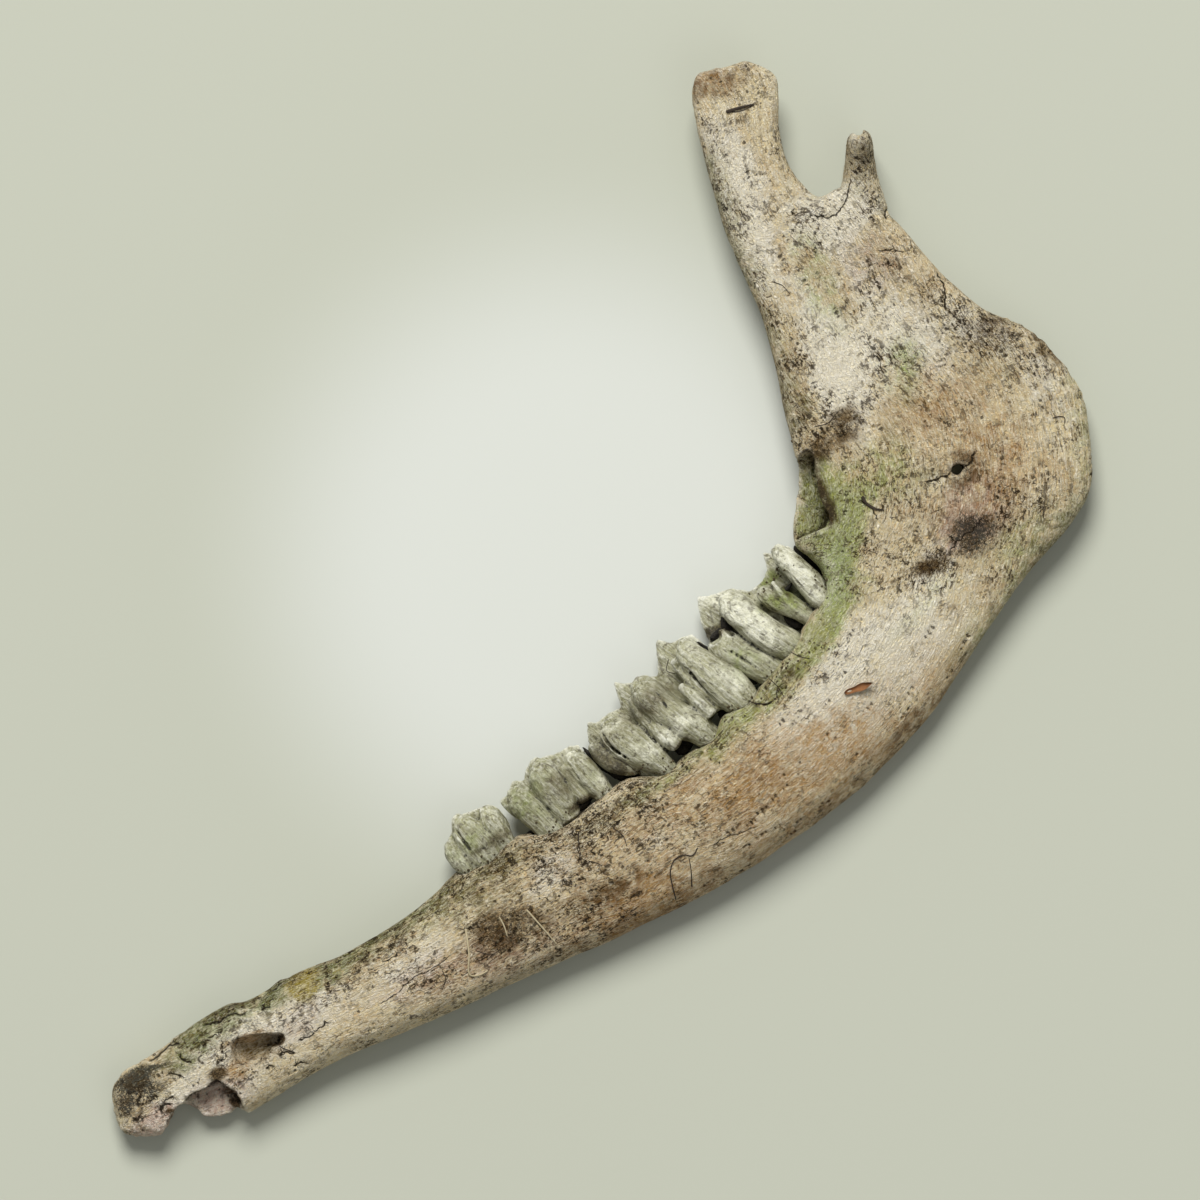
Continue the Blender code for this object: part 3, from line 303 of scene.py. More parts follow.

# Stains, some of them partly painted shade and highlight: x, y of the middle, half length, half
# width, turn in degrees, strength.
STAINS_AND_SHADE = {
    # Partly a painted highlight: the strongest pale patch runs along the ridge of the ramus.
    "bleached_and_highlight": (
        (197, 66.5, 11, 4.2, 70, 2.2), (205, 65, 8, 6, 60, 0.8), (214, 62, 9, 5, 100, 0.8),
        (201, 79, 10, 4, 72, 0.6), (212, 78, 8, 5, 80, 0.6), (216, 91, 8, 5, 0, 1.4),
        (211, 97, 5, 4, 0, 0.5), (203, 106, 14, 5, 72, 1.2), (198, 91, 6, 3, 75, 0.7),
        (168, 22, 10, 4.5, 12, 1.2), (171, 14, 20, 5, 12, 0.75), (154, 17, 9, 6, 5, 0.9),
        (97, 22, 5, 3, 0, 1.1), (175, 37, 8, 4, 50, 0.7), (28.5, 35.5, 7, 2.4, 0, 1.3),
        (24, 31, 18, 7, 0, 0.5), (41, 30, 9, 4, -5, 1), (66, 26, 10, 4, -5, 0.4),
        (224, 60, 8, 4, 115, 0.5), (228, 42, 10, 3.5, 95, 0.5), (187, 24, 12, 4, 25, 0.7),
        (116, 15.5, 5, 2, 0, 0.5), (62, 23, 14, 3.5, -8, 0.3), (8, 29, 6, 2.6, 0, 1.1),
        (18, 25, 5, 4, 0, 1.2), (155, 11, 8, 4, 5, 0.6), (226.7, 102.5, 1, 1, 0, 1),
        (32, 36, 2, 0.8, 0, 0.8), (20, 24, 4, 2, 0, 0.5), (195.5, 65, 3, 3, 70, 0.6),
        (174, 35.5, 4, 2.4, 40, 0.6), (219, 90.5, 3, 3, 0, 0.5), (98, 9, 5, 2.5, 0, 0.4),
        (32, 33.5, 4, 3, 0, 0.4), (12, 30, 4, 2, 0, 0.4),
    ),
    # Partly painted shade: in the hole at the chin, and behind the open crypt.
    "tan_and_shade": (
        (103, 9, 14, 7, -5, 1), (213, 37, 9, 10, 20, 0.75), (212, 126, 6, 3.5, -30, 0.9),
        (206, 28, 8, 5, 0, 0.4), (132, 13, 14, 6, 0, 0.6), (205, 53, 10, 7, 40, 0.5),
        (144, 10, 12, 6, 0, 0.7), (157, 10, 10, 6, 5, 0.5), (122, 20, 22, 5, 0, 0.5),
        (95, 24, 12, 5, -10, 0.35), (219, 70, 9, 4, 100, 0.3), (170, 14, 16, 6, 12, 0.3),
        (227, 60, 10, 3, 115, 0.2), (24.8, 28.2, 2.2, 1.6, 0, 1.3), (29, 33.4, 4, 1, -20, 1),
        (215, 51, 9, 6, 0, 0.4), (150, 18, 12, 5, 0, 0.3), (44, 26, 12, 5, -8, 0.25),
        (30.4, 29.9, 5, 3, -20, 1),
    ),
    # Partly painted shade: the film in the hole at the chin darkens the lit part of its bowl.
    "olive_and_shade": (
        (43, 34.5, 6, 2.6, -8, 0.6), (20, 38, 10, 3, 0, 0.7), (83, 26, 10, 5, -10, 0.6),
        (96, 29, 8, 2.6, -8, 0.4), (108, 26, 9, 2.6, 0, 0.35), (120, 26, 9, 2.6, 0, 0.5),
        (153, 26, 6, 2.4, 10, 0.6), (179.5, 52.5, 5, 3, 65, 0.6), (199, 41, 6, 4, 20, 0.5),
        (213, 19, 9, 4, 20, 0.6), (200, 53, 4, 3, 40, 0.4), (184, 58, 6, 4, 60, 0.35),
        (188, 66, 3.5, 3, 70, 0.7), (64, 17, 12, 4, -8, 0.2), (10, 38, 6, 3, 0, 0.4),
        (84, 11, 9, 3, -10, 0.35), (30.8, 29.6, 4.4, 2.4, -20, 1.1),
    ),
    "algae": (
        (179, 42, 8, 5, 60, 1.2), (176, 38, 7, 4, 50, 1), (145, 24.5, 10, 2.8, 5, 1),
        (163, 28.5, 12, 3.2, 12, 1), (194, 46.5, 7, 5, 50, 0.6), (206, 21, 8, 4, 0, 0.45),
        (208, 60, 6, 4.5, 60, 0.6), (206, 83, 10, 4.5, 75, 0.45), (24, 38.2, 9, 2.6, 0, 0.8),
        (39, 36.5, 3, 2, 0, 0.7), (180, 51, 8, 4, 65, 1.2), (172.5, 34, 7, 2.8, 35, 1),
        (134, 24.5, 11, 1.8, 0, 0.6), (67, 31.8, 15, 1.6, -3, 0.4), (48, 33.6, 8, 2, -8, 0.5),
        (187, 22, 16, 3, 14, 0.25), (175, 46, 5, 3, 60, 1.1), (186, 47, 5, 4, 60, 0.7),
        (120, 25, 9, 2.4, 0, 0.4), (222, 50, 6, 5, 0, 0.2),
    ),
    # Partly painted shade: the dark patches on the open crypt's inner wall and in the hole at the chin.
    "dirt_and_shade": (
        (84, 19, 9, 5.5, -15, 0.98), (190.5, 58.6, 7, 4, 10, 0.78), (200.5, 26.8, 4.4, 3.6, 20, 0.5),
        (140, 19.5, 3, 2, 0, 0.35), (106, 13, 7, 3.6, 0, 0.7), (97, 14.5, 6, 3, 0, 0.45),
        (212, 27, 5, 2.5, 0, 0.3), (194, 32, 6, 4, 20, 0.3), (118, 7, 8, 3, 0, 0.35),
        (184.5, 57.5, 3, 2.2, 60, 0.55), (155, 26.2, 2.6, 1.5, 15, 1), (192, 55.5, 5, 3, 30, 0.35),
        (224, 84, 5, 1.5, 115, 0.4), (228, 99, 4, 3, 55, 0.35), (232, 46, 5, 1.6, 95, 0.7),
        (206, 38, 5, 4, 0, 0.8), (35.6, 28.4, 1.2, 1.1, 0, 1.4), (9.4, 28.8, 1.2, 1, 0, 1.2),
        (22, 24.2, 0.9, 2.6, 0, 1.2), (22.4, 30.2, 1.6, 1.4, 0, 1.4), (181.4, 49.8, 1.3, 5, -10, 1.3),
        (179.6, 45.8, 1.6, 1.3, 0, 1.2), (226, 56, 5, 2.4, 115, 0.45), (211, 125, 5.5, 3.2, -20, 0.65),
        (218, 124, 3, 2, 0, 0.5), (206, 52, 8, 6, 40, 0.25), (31.2, 29.4, 3.4, 2, -25, 0.3),
        (124, 27, 5, 1.4, 0, 0.4), (96, 30.6, 4, 1.4, 0, 0.4), (206, 117, 4, 4, 70, 0.35),
        (171, 5.5, 7, 2, 10, 0.35), (82, 31, 5, 2, 0, 0.3), (187, 35.5, 4, 3, 0, 0.3),
        (190.5, 26.2, 4, 2, -15, 0.8), (187.6, 27.6, 1.6, 1.2, 0, 0.8),
    ),
    "lilac": (
        (216, 80, 7, 7, 60, 0.5), (5.5, 29.4, 6, 3.2, 0, 1.5), (18, 26, 6, 4, 0, 1.4),
        (40, 30, 8, 4, 0, 0.4), (201, 29, 7, 7, 0, 1), (64, 21, 12, 4, -10, 0.5),
        (82, 15, 12, 6, -12, 0.6), (206, 34, 8, 5, 0, 0.3), (204, 96, 10, 4, 70, 0.15),
    ),
    "lichen": ((45.2, 33.8, 3.4, 1.9, -5, 2.6), (180.5, 42.5, 3.4, 2.2, 40, 0.35)),
    "charcoal": (
        (7.4, 37.8, 4.4, 2.8, -20, 1.3), (3, 35, 2, 2, 0, 0.9), (84.5, 19, 5, 3.4, -15, 0.35),
        (200.6, 26.8, 4.8, 4.2, 20, 0.95), (13, 38.8, 5, 1.3, -5, 0.7), (10, 34, 4, 1.5, 20, 0.3),
    ),
    "flecked": (
        (120, 60, 400, 400, 0, 0.33), (111, 25.5, 20, 4.5, 0, 0.24), (84, 19, 10, 7, 0, 0.18),
        (190, 60, 8, 6, 0, 0.3), (224, 60, 10, 5, 115, 0.12), (100, 12, 14, 8, 0, 0.14),
        (10, 34, 8, 6, 0, 0.1), (215, 80, 10, 12, 0, 0.08), (227, 52, 6, 12, 0, 0.1),
        (168, 14, 26, 9, 10, -0.16), (197.5, 67, 9, 3.6, 70, -0.22), (206, 24, 12, 6, 0, 0.14),
        (190.5, 26.2, 5, 2.6, -15, 0.34), (228.6, 98.5, 5, 6, 0, 0.34),
    ),
}
# Bands that follow a border of the bone, partly stains and partly painted shade where the bone
# curves away: mask, border, from and to in millimetres along the bone, how far in the band fades,
# strength.
BORDER_STAINS_AND_SHADE = (
    ("olive_and_shade", "upper", 18, 104, 5, 0.8), ("algae", "upper", 18, 104, 4.5, 0.3),
    ("flecked", "upper", 18, 104, 5, 0.2), ("olive_and_shade", "upper", 236, 306, 4.2, 0.75),
    ("flecked", "upper", 236, 306, 4, 0.14), ("dirt_and_shade", "lower", 60, 190, 3.6, 0.35),
    ("tan_and_shade", "lower", 100, 190, 6, 0.6), ("algae", "lower", 176, 232, 5, 0.35),
    ("dirt_and_shade", "lower", 228, 250, 2.6, 0.5), ("olive_and_shade", "lower", 176, 228, 3, 0.4),
    ("dirt_and_shade", "upper", 236, 262, 3, 0.3), ("olive_and_shade", "lower", 262, 300, 2.4, 0.35),
)
TOOTH_STAINS_AND_SHADE = {
    "algae": (
        (87, 37, 7, 4, 0, 0.6), (100, 36, 4, 5, 0, 0.8), (162, 39.6, 4, 2.4, 0, 1),
        (150, 34, 4, 4.5, 0, 0.7), (165, 36, 3, 3.5, 0, 0.8), (106, 39, 3, 3, 0, 0.5),
        (164, 43.4, 3, 1, 0, 1), (159, 30, 8, 1.6, 5, 0.5), (118, 37, 3, 3, 0, 0.3),
        (113, 34, 3, 4, 0, 0.4),
    ),
    # Partly painted shade: the dark patches in the folds of the first molar.
    "dirt_and_shade": (
        (90, 34.4, 6, 1.6, 0, 0.8), (108, 35, 5, 4, 0, 0.7), (118, 35, 3, 4, 0, 0.8),
        (126, 37, 8, 4, 0, 0.45), (134, 38, 6, 4, 0, 0.5), (148.6, 41, 1.8, 1.3, 0, 1.4),
        (151.4, 40.6, 0.9, 2, 0, 1.4), (165.6, 39.6, 1, 1.6, 0, 1), (109.5, 30, 4, 1, 0, 1.2),
        (118.6, 30.6, 2.6, 1.6, 0, 1.2), (131.6, 27.4, 2.2, 1.2, 0, 1.2),
        (160.2, 38.5, 0.9, 4, 30, 0.8),
    ),
    "bleached_and_highlight": (
        (155.8, 40, 2.6, 6, 10, 0.9), (143.6, 41, 2, 3, 0, 0.4), (160, 37, 13, 9, 0, 0.5),
        (146.5, 32, 4, 4, 0, 0.7), (123, 38.6, 3, 1, 0, 0.8), (130.5, 30.6, 3.6, 1.8, 0, 0.8),
        (168.6, 42, 2, 6, 0, 0.9), (136.6, 31, 4, 2.6, 0, 0.6), (125, 31, 3, 2.6, 0, 0.5),
        (84, 35.6, 2, 2, 0, 0.6), (151.5, 46.5, 3.4, 2.6, 0, 0.7), (112, 39.6, 4, 1.4, 0, 0.7),
        (115, 32, 1.4, 2, 0, 0.6),
    ),
}
# Cracks: half width, depth, and the points x, y that each runs through.
CRACKS = (
    (0.2, 0.4, ((25.1, 39.3), (27.9, 38.2), (31.6, 37.7), (33.7, 35.7))),
    (0.22, 0.4, ((20.1, 39.5), (17.3, 40), (14.5, 40), (12.7, 39.7))),
    (0.16, 0.25, ((18.8, 37.7), (18.2, 36.4), (19.3, 34.7))),
    (0.18, 0.3, ((11.6, 30.6), (10, 31.2), (8.5, 30.9))),
    (0.16, 0.25, ((7.9, 35.4), (6.8, 34.9), (6, 33.6))),
    (0.18, 0.3, ((3.4, 32), (4.4, 32.2), (5.6, 31.3))),
    (0.14, 0.25, ((8.9, 33.5), (9.6, 33.8), (10.5, 33))),
    (0.16, 0.25, ((33.3, 25.1), (34.4, 25.7), (35.5, 25.3), (36.5, 24))),
    (0.12, 0.2, ((34.8, 22.2), (35.8, 22.2), (36.8, 21.7))),
    (0.12, 0.2, ((30, 24.9), (30.8, 25.3), (31.7, 25))),
    (0.16, 0.25, ((22.9, 31.4), (23.7, 31.8), (24.5, 31.4))),
    (0.12, 0.2, ((35.9, 34.9), (37, 34.8), (37.9, 34.4))),
    (0.12, 0.2, ((14.4, 35.6), (15.6, 34.6), (16.4, 33))),
    (0.1, 0.2, ((24.6, 36.6), (26.4, 36.2), (27.8, 36.4))),
    (0.13, 0.3, ((198.5, 40.4), (200.4, 39.6), (202.4, 38.8), (204.2, 38.6))),
    (0.16, 0.35, ((205.6, 38.8), (206.6, 38.2), (207.4, 37.9), (208.6, 38.3), (209.8, 39.4))),
    (0.1, 0.2, ((194, 26.5), (197, 27.4), (200.4, 27.4), (204, 28.2))),
    (0.1, 0.2, ((196.2, 29.8), (196.4, 28.4), (196.9, 27.2))),
    (0.12, 0.25, ((211.6, 94.8), (212.8, 93.4), (213.8, 92.2), (217, 91.8), (219.6, 93.4), (222, 95.5))),
    (0.14, 0.3, ((224.6, 71.6), (224.4, 69.4), (223.6, 67.4), (221.2, 64))),
    (0.12, 0.2, ((9, 31), (10.6, 31.6), (13, 31.5))),
    (0.12, 0.2, ((38, 25.9), (41, 25.2), (43.6, 25.4), (46, 25.2))),
    (0.08, 0.15, ((60, 28.3), (62, 28), (64.5, 27.9))),
    (0.09, 0.15, ((54, 22.2), (59, 21.9), (63, 22.3), (68, 21.5), (72, 21.4))),
    (0.09, 0.15, ((124, 8.6), (127.4, 8.2), (130, 7.3), (134, 6.4))),
    (0.1, 0.2, ((186.5, 45), (187.4, 42.6), (187, 39.6))),
    (0.1, 0.2, ((221.8, 77.8), (219.8, 80), (217.6, 81.2))),
    (0.14, 0.3, ((222.8, 85), (223.6, 86.2), (224.6, 86.6))),
    (0.1, 0.2, ((146.8, 26.4), (147.6, 25.2), (149, 24), (150.4, 23.9))),
)

# Porous and broken places: x, y of the middle, half length, half width, turn in degrees, strength.
POROUS = (
    (8, 31, 8, 7, 0, 1), (18, 27, 6, 5, 0, 0.8), (208, 112, 14, 9, 70, 0.7), (214, 125, 6, 4, 0, 0.7),
    (230, 46, 11, 3, 95, 0.7), (226, 58, 8, 3, 115, 0.6), (108, 26, 22, 4, 0, 0.5),
    (216, 84, 10, 10, 60, 0.45), (228, 99, 4, 4, 0, 0.6), (190, 60, 7, 4, 10, 0.5),
)
RAGGED = (
    (231.8, 47, 2.6, 16, 0, 0.9), (9, 27.5, 9, 2.6, -10, 1), (18, 24, 5, 5, 0, 1), (2, 33, 3, 5, 0, 1),
    (213, 127.5, 5, 3, -20, 0.8), (232.5, 44, 9, 2, 95, 0.5), (45, 37, 10, 1.6, -8, 0.5),
    (12, 41, 12, 1.6, 0, 0.8), (182, 50, 9, 3, 65, 0.5), (229, 57, 9, 1.6, 120, 0.5),
)
# Relief as rows of height, size and random seed. A size of three is along the grain, across it, up.
BONE_SWELLS = ((0.16, 13, 1), (0.09, 5, 2))
BONE_FIBRES = ((0.05, (7, 0.9, 0.9), 3), (0.035, (3, 0.5, 0.5), 4))
BONE_GRIT = ((0.035, 1, 5),)
RAGGED_RELIEF = ((0.35, 2.2, 6), (0.25, 0.9, 7))
TOOTH_SWELLS = ((0.14, 3.2, 41), (0.07, 1.1, 42))
TOOTH_RIDGES = ((0.10, (6, 0.9, 0.9), 43), (0.06, (4, 0.42, 0.42), 44))
# Unevenness of the flecks, and of how far in from a border a band reaches, as such rows.
FLECK_WAVES = ((0.16, 6, 15), (0.17, 2.4, 16))
BORDER_WAVES = ((0.8, 3, 18),)
# Stretch of the bone over which a border stain fades in and out.
BORDER_FADE = 8.0
# How far the edges of stains are moved along x and along y, as such rows.
BONE_WARP = (((1.3, 9, 11), (0.9, 2.6, 12)), ((1.3, 9, 13), (0.9, 2.6, 14)))
TOOTH_WARP = (((0.9, 3, 46),), ((0.9, 3, 47),))
# Pits: cell size, radius in cells, depth, random seed.
BONE_PITS = ((2.6, 0.26, 0.34, 21), (1.5, 0.30, 0.22, 31))
TOOTH_PITS = (1.5, 0.26, 0.16, 51)
# Where the condyle's neck leaves the plate: middle, half length, half width, turn, strength.
NECK_ROOT = ((218, 87, 12, 7, 58, 1),)

# The picture: its middle, its width on the bone, the height it is sharpest at, and its turn.
PICTURE_MIDDLE = (135.2, 59.2)
PICTURE_WIDTH = 230.4
PICTURE_HEIGHT = 8.0
PICTURE_TURN = 36.6
CAMERA_AWAY = 2400.0
# The floor: middle of its painted pool of light, how far that reaches and where it ends, and both
# colours.
FLOOR_SIDE = 2.0
FLOOR_LIGHT = (136.7, 67.7)
FLOOR_FADE = (27.0, 86.5)
FLOOR_PALE = "CED0C7"
FLOOR_EDGE = "B8BAAA"


def place(points):
    """The points, given in millimetres from the chin, in metres about the middle of the jaw."""
    return (np.asarray(points, float) - MIDDLE) * MM


def through(rows, places):
    """Smooth curve through rows whose first value is their place along it, read at places: between
    two rows a cubic whose slope at each row is the slope between its neighbours."""
    rows = np.asarray(rows, float)
    at, values = rows[:, 0], rows[:, 1:]
    slopes = np.gradient(values, at, axis=0)
    first = np.clip(np.searchsorted(at, places, side="right") - 1, 0, len(at) - 2)
    step = (at[first + 1] - at[first])[:, None]
    t = ((places - at[first])[:, None]) / step
    return (
        (2 * t**3 - 3 * t**2 + 1) * values[first]
        + (t**3 - 2 * t**2 + t) * step * slopes[first]
        + (3 * t**2 - 2 * t**3) * values[first + 1]
        + (t**3 - t**2) * step * slopes[first + 1]
    )


def by_length(rows, count):
    """Rows of values whose first two are x, y, read evenly along their path at count places."""
    rows = np.asarray(rows, float)
    along = np.concatenate([[0.0], np.cumsum(np.linalg.norm(np.diff(rows[:, :3], axis=0), axis=1))])
    return through(np.column_stack([along, rows]), np.linspace(0, along[-1], count))


def three_way(ends, share):
    """Parabola through the values at share 0, 0.5 and 1."""
    upper, middle, lower = ends
    return (
        upper * (1 - share) * (1 - 2 * share)
        + middle * 4 * share * (1 - share)
        + lower * share * (2 * share - 1)
    )


def smooth_step(t):
    """Three times the square of t less twice its cube, with t held between 0 and 1."""
    t = np.clip(t, 0, 1)
    return t * t * (3 - 2 * t)


def patches(rows, flat, power=1.0):
    """Sum of long bell-shaped rises at points x, y: rise * exp(-(along^2 + across^2)^power)."""
    total = np.zeros(flat.shape[:-1])
    for x, y, long, wide, degrees, rise in rows:
        turn = math.radians(degrees)
        dx, dy = flat[..., 0] - x, flat[..., 1] - y
        along = (dx * math.cos(turn) + dy * math.sin(turn)) / long
        across = (dy * math.cos(turn) - dx * math.sin(turn)) / wide
        total += rise * np.exp(-(along**2 + across**2) ** power)
    return total


def lattice_value(cell, seed):
    """A number from -1 to 1 for each whole-number cell: large odd factors and shifts mix the bits of
    its three numbers and the seed, and the last sixteen bits are the result."""
    mixed = (cell[..., 0] * 73856093) ^ (cell[..., 1] * 19349663) ^ (cell[..., 2] * 83492791)
    mixed = (mixed + seed * 2654435761) & 0xFFFFFFFF
    mixed = ((mixed ^ (mixed >> 15)) * 2246822519) & 0xFFFFFFFF
    mixed = ((mixed ^ (mixed >> 13)) * 3266489917) & 0xFFFFFFFF
    return ((mixed ^ (mixed >> 16)) & 0xFFFF) / 32767.5 - 1


def noise(points, size, seed):
    """Smooth random values from -1 to 1: the corner values of cells of that size, blended by a
    smooth step along each axis."""
    scaled = points / np.asarray(size, float)
    cell = np.floor(scaled).astype(np.int64)
    part = smooth_step(scaled - cell)
    total = np.zeros(len(points))
    for corner in np.ndindex(2, 2, 2):
        share = np.prod(np.where(corner, part, 1 - part), axis=1)
        total += share * lattice_value(cell + np.array(corner), seed)
    return total


def waves(points, rows):
    """Sum over the rows of height times the noise of that size and seed."""
    return sum(height * noise(points, size, seed) for height, size, seed in rows)


def warp(points, rows):
    """The points moved along x and along y by the waves of those rows, so that a patch read there
    has uneven edges."""
    moved = points.copy()
    for axis in (0, 1):
        moved[:, axis] += waves(points, rows[axis])
    return moved


def pits(points, size, seed):
    """Distance to the nearest of one random point a cell, in cells, and that point's number. Each
    point is up to 0.45 cells from its cell's middle along each axis."""
    scaled = points / np.asarray(size, float)
    cell = np.floor(scaled).astype(np.int64)
    nearest = np.full(len(points), 9.0)
    owner = np.zeros(len(points))
    for step in np.ndindex(3, 3, 3):
        other = cell + np.array(step) - 1
        offset = np.column_stack([lattice_value(other, seed + axis) for axis in (0, 1, 2)])
        away = np.linalg.norm(scaled - other - 0.5 - 0.45 * offset, axis=1)
        closer = away < nearest
        nearest[closer] = away[closer]
        owner[closer] = lattice_value(other[closer], seed + 3)
    return nearest, owner


def bone_rings(ribs, build, steps, corner_steps, plate_steps):
    """Rings round the bone, steps x ring points x 3.

    Ribs are read evenly along the bone. Across a rib the face heights follow a parabola, and near
    each end they close in on the middle surface as a quarter of a superellipse.
    """
    ribs = np.asarray(ribs, float)
    moved = np.diff(ribs, axis=0)
    travel = np.hypot(moved[:, 0], moved[:, 1]) + np.hypot(moved[:, 2], moved[:, 3])
    along = np.concatenate([[0.0], np.cumsum(travel)])
    reads = np.linspace(0, along[-1], steps)
    ends = through(np.column_stack([along, ribs]), reads)
    made = through(build, np.interp(reads, along, np.arange(len(ribs))))
    upper, lower = ends[:, None, 0:2], ends[:, None, 2:4]
    width = np.linalg.norm(lower - upper, axis=2)
    inner = [made[:, i, None] for i in (0, 1, 2)]
    thick = [made[:, i, None] for i in (3, 4, 5)]
    rounds = [made[:, i, None] for i in (6, 7)]

    turn = np.arange(corner_steps)[None, :] / corner_steps * math.pi / 2
    shares, fullness = [], []
    for end in (0, 1):
        blunt = 2 + 1.6 * np.clip(1 - 2 * rounds[end] / thick[2 * end], 0, 1)
        shares.append(rounds[end] * (1 - np.cos(turn) ** (2 / blunt)) / width)
        fullness.append(np.sin(turn) ** (2 / blunt))
    run = np.linspace(0, 1, plate_steps + 1)[None, :]
    middle = (rounds[0] + run * (width - rounds[0] - rounds[1])) / width
    share = np.hstack([shares[0], middle, 1 - shares[1][:, ::-1]])
    full = np.hstack([fullness[0], np.ones_like(middle), fullness[1][:, ::-1]])

    half = three_way(thick, share) / 2
    centre = three_way(inner, share) + half
    flat = upper + share[..., None] * (lower - upper)
    cheek = np.dstack([flat, centre + (half + patches(CHEEK_FORMS, flat)) * full])
    tongue = np.dstack([flat, centre - (half + patches(INNER_FORMS, flat)) * full])[:, -2:0:-1]
    rings = np.concatenate([cheek, tongue], axis=1)
    rings[..., 2] = np.maximum(rings[..., 2], 0)
    return rings


def column_rings(rows, round_foot=0.5, round_tip=0.6, steps=26, around=24):
    """Rings of a column that follows rows of x, y, z, half width and half depth.

    A ring is an oval across the path: its width lies in the x, y plane and its depth along z. The
    last stretch at each end, as long as the half width there times the rounding, closes as a dome.
    """
    line = by_length(rows, steps)
    ahead = np.gradient(line[:, :3], axis=0)
    ahead /= np.linalg.norm(ahead, axis=1)[:, None]
    flat_side = np.column_stack([ahead[:, 1], -ahead[:, 0], np.zeros(steps)])
    upright = np.abs(ahead[:, 2]) > 0.9
    flat_side[upright] = (1, 0, 0)
    flat_side /= np.linalg.norm(flat_side, axis=1)[:, None]
    deep_side = np.cross(flat_side, ahead)
    dome_steps, blunt = 6, 0.85
    dome = np.linspace(0, math.pi / 2, dome_steps + 1)
    foot = line[0, 3] * round_foot
    tip = line[-1, 3] * round_tip
    places = np.concatenate([
        line[0, :3] - ahead[0] * foot * np.cos(dome[:-1])[:, None],
        line[:, :3],
        line[-1, :3] + ahead[-1] * tip * np.sin(dome[1:])[:, None],
    ])
    grown = np.concatenate([np.sin(dome[:-1]), np.ones(steps), np.cos(dome[1:])])
    grown = np.maximum(grown, 0.02)
    hold = np.clip(np.arange(-dome_steps, steps + dome_steps), 0, steps - 1)
    turn = np.linspace(0, 2 * math.pi, around, endpoint=False)
    across = np.sign(np.cos(turn)) * np.abs(np.cos(turn)) ** blunt
    deep = np.sign(np.sin(turn)) * np.abs(np.sin(turn)) ** blunt
    return (
        places[:, None]
        + (grown * line[hold, 3])[:, None, None] * across[None, :, None] * flat_side[hold][:, None]
        + (grown * line[hold, 4])[:, None, None] * deep[None, :, None] * deep_side[hold][:, None]
    )


def crest_rings(rows, steps=90, around=20):
    """Rings of an inner wall read along x. Each ring stands in the y, z plane: it goes up one face
    and down the other, thick at the foot and thin at the crest, with both rounded."""
    rows = np.asarray(rows, float)
    x = np.linspace(rows[0, 0], rows[-1, 0], steps)
    foot, crest, middle, thick, thin = (
        np.interp(x, rows[:, 0], rows[:, i])[:, None] for i in (1, 2, 3, 4, 5)
    )
    end_steps = 7
    ends = np.sin(np.linspace(0.03, 1, end_steps) * math.pi / 2)
    closing = np.concatenate([ends, np.ones(steps - 2 * end_steps), ends[::-1]])[:, None]
    turn = np.linspace(0, 2 * math.pi, around, endpoint=False)[None, :]
    height = 0.5 - 0.5 * np.sign(np.cos(turn)) * np.abs(np.cos(turn)) ** 0.5
    sideways = np.sign(np.sin(turn)) * np.abs(np.sin(turn)) ** 0.6
    y = foot + (crest - foot) * height
    z = middle + sideways * (thick + (thin - thick) * height) * closing
    return np.stack([np.broadcast_to(x[:, None], y.shape), y, z], axis=-1)


def ring_faces(rows, around):
    """Four-sided faces between neighbouring rings, and one face over each end."""
    row, column = np.meshgrid(np.arange(rows - 1), np.arange(around), indexing="ij")
    after = (column + 1) % around
    sides = np.stack(
        [row * around + column, row * around + after, (row + 1) * around + after,
         (row + 1) * around + column], axis=-1
    ).reshape(-1, 4)
    ends = [list(range(around)), list(range((rows - 1) * around, rows * around))]
    return sides.tolist() + ends


def mesh_piece(name, lofts):
    """Mesh object of closed lofts, each rings x points x 3 in millimetres, facing outward."""
    points, faces, base = [], [], 0
    for rings in lofts:
        points.append(rings.reshape(-1, 3))
        faces += [[base + i for i in face] for face in ring_faces(*rings.shape[:2])]
        base += len(points[-1])
    mesh = bpy.data.meshes.new(name)
    mesh.from_pydata(place(np.vstack(points)).tolist(), [], faces)
    shaped = bmesh.new()
    shaped.from_mesh(mesh)
    bmesh.ops.remove_doubles(shaped, verts=shaped.verts, dist=1e-6)
    bmesh.ops.triangulate(shaped, faces=[f for f in shaped.faces if len(f.verts) > 4])
    bmesh.ops.recalc_face_normals(shaped, faces=shaped.faces)
    shaped.to_mesh(mesh)
    shaped.free()
    made = bpy.data.objects.new(name, mesh)
    bpy.context.scene.collection.objects.link(made)
    return made


def modifier(piece, kind, **settings):
    """Puts a modifier with its settings on the piece."""
    step = piece.modifiers.new(kind.lower(), kind)
    for key, value in settings.items():
        setattr(step, key, value)


def settle(piece):
    """Puts the result of the piece's modifiers into its mesh."""
    graph = bpy.context.evaluated_depsgraph_get()
    piece.data = bpy.data.meshes.new_from_object(piece.evaluated_get(graph))
    piece.modifiers.clear()
    piece.data.name = piece.name


def grow_together(piece, cell):
    """Makes one even skin, of cells of that size, round all forms of the piece."""
    modifier(piece, "REMESH", mode="VOXEL", voxel_size=cell * MM)
    settle(piece)


def cut(piece, other, operation="DIFFERENCE"):
    """Takes the other form out of the piece, or with UNION adds it, and deletes the other."""
    modifier(piece, "BOOLEAN", object=other, operation=operation, solver="MANIFOLD")
    settle(piece)
    bpy.data.objects.remove(other)


def values_of(items, key, wide, kind=np.float64):
    """One value of each item as an array, or that many in a row."""
    found = np.empty(len(items) * wide, kind)
    items.foreach_get(key, found)
    return found.reshape(-1, wide) if wide > 1 else found


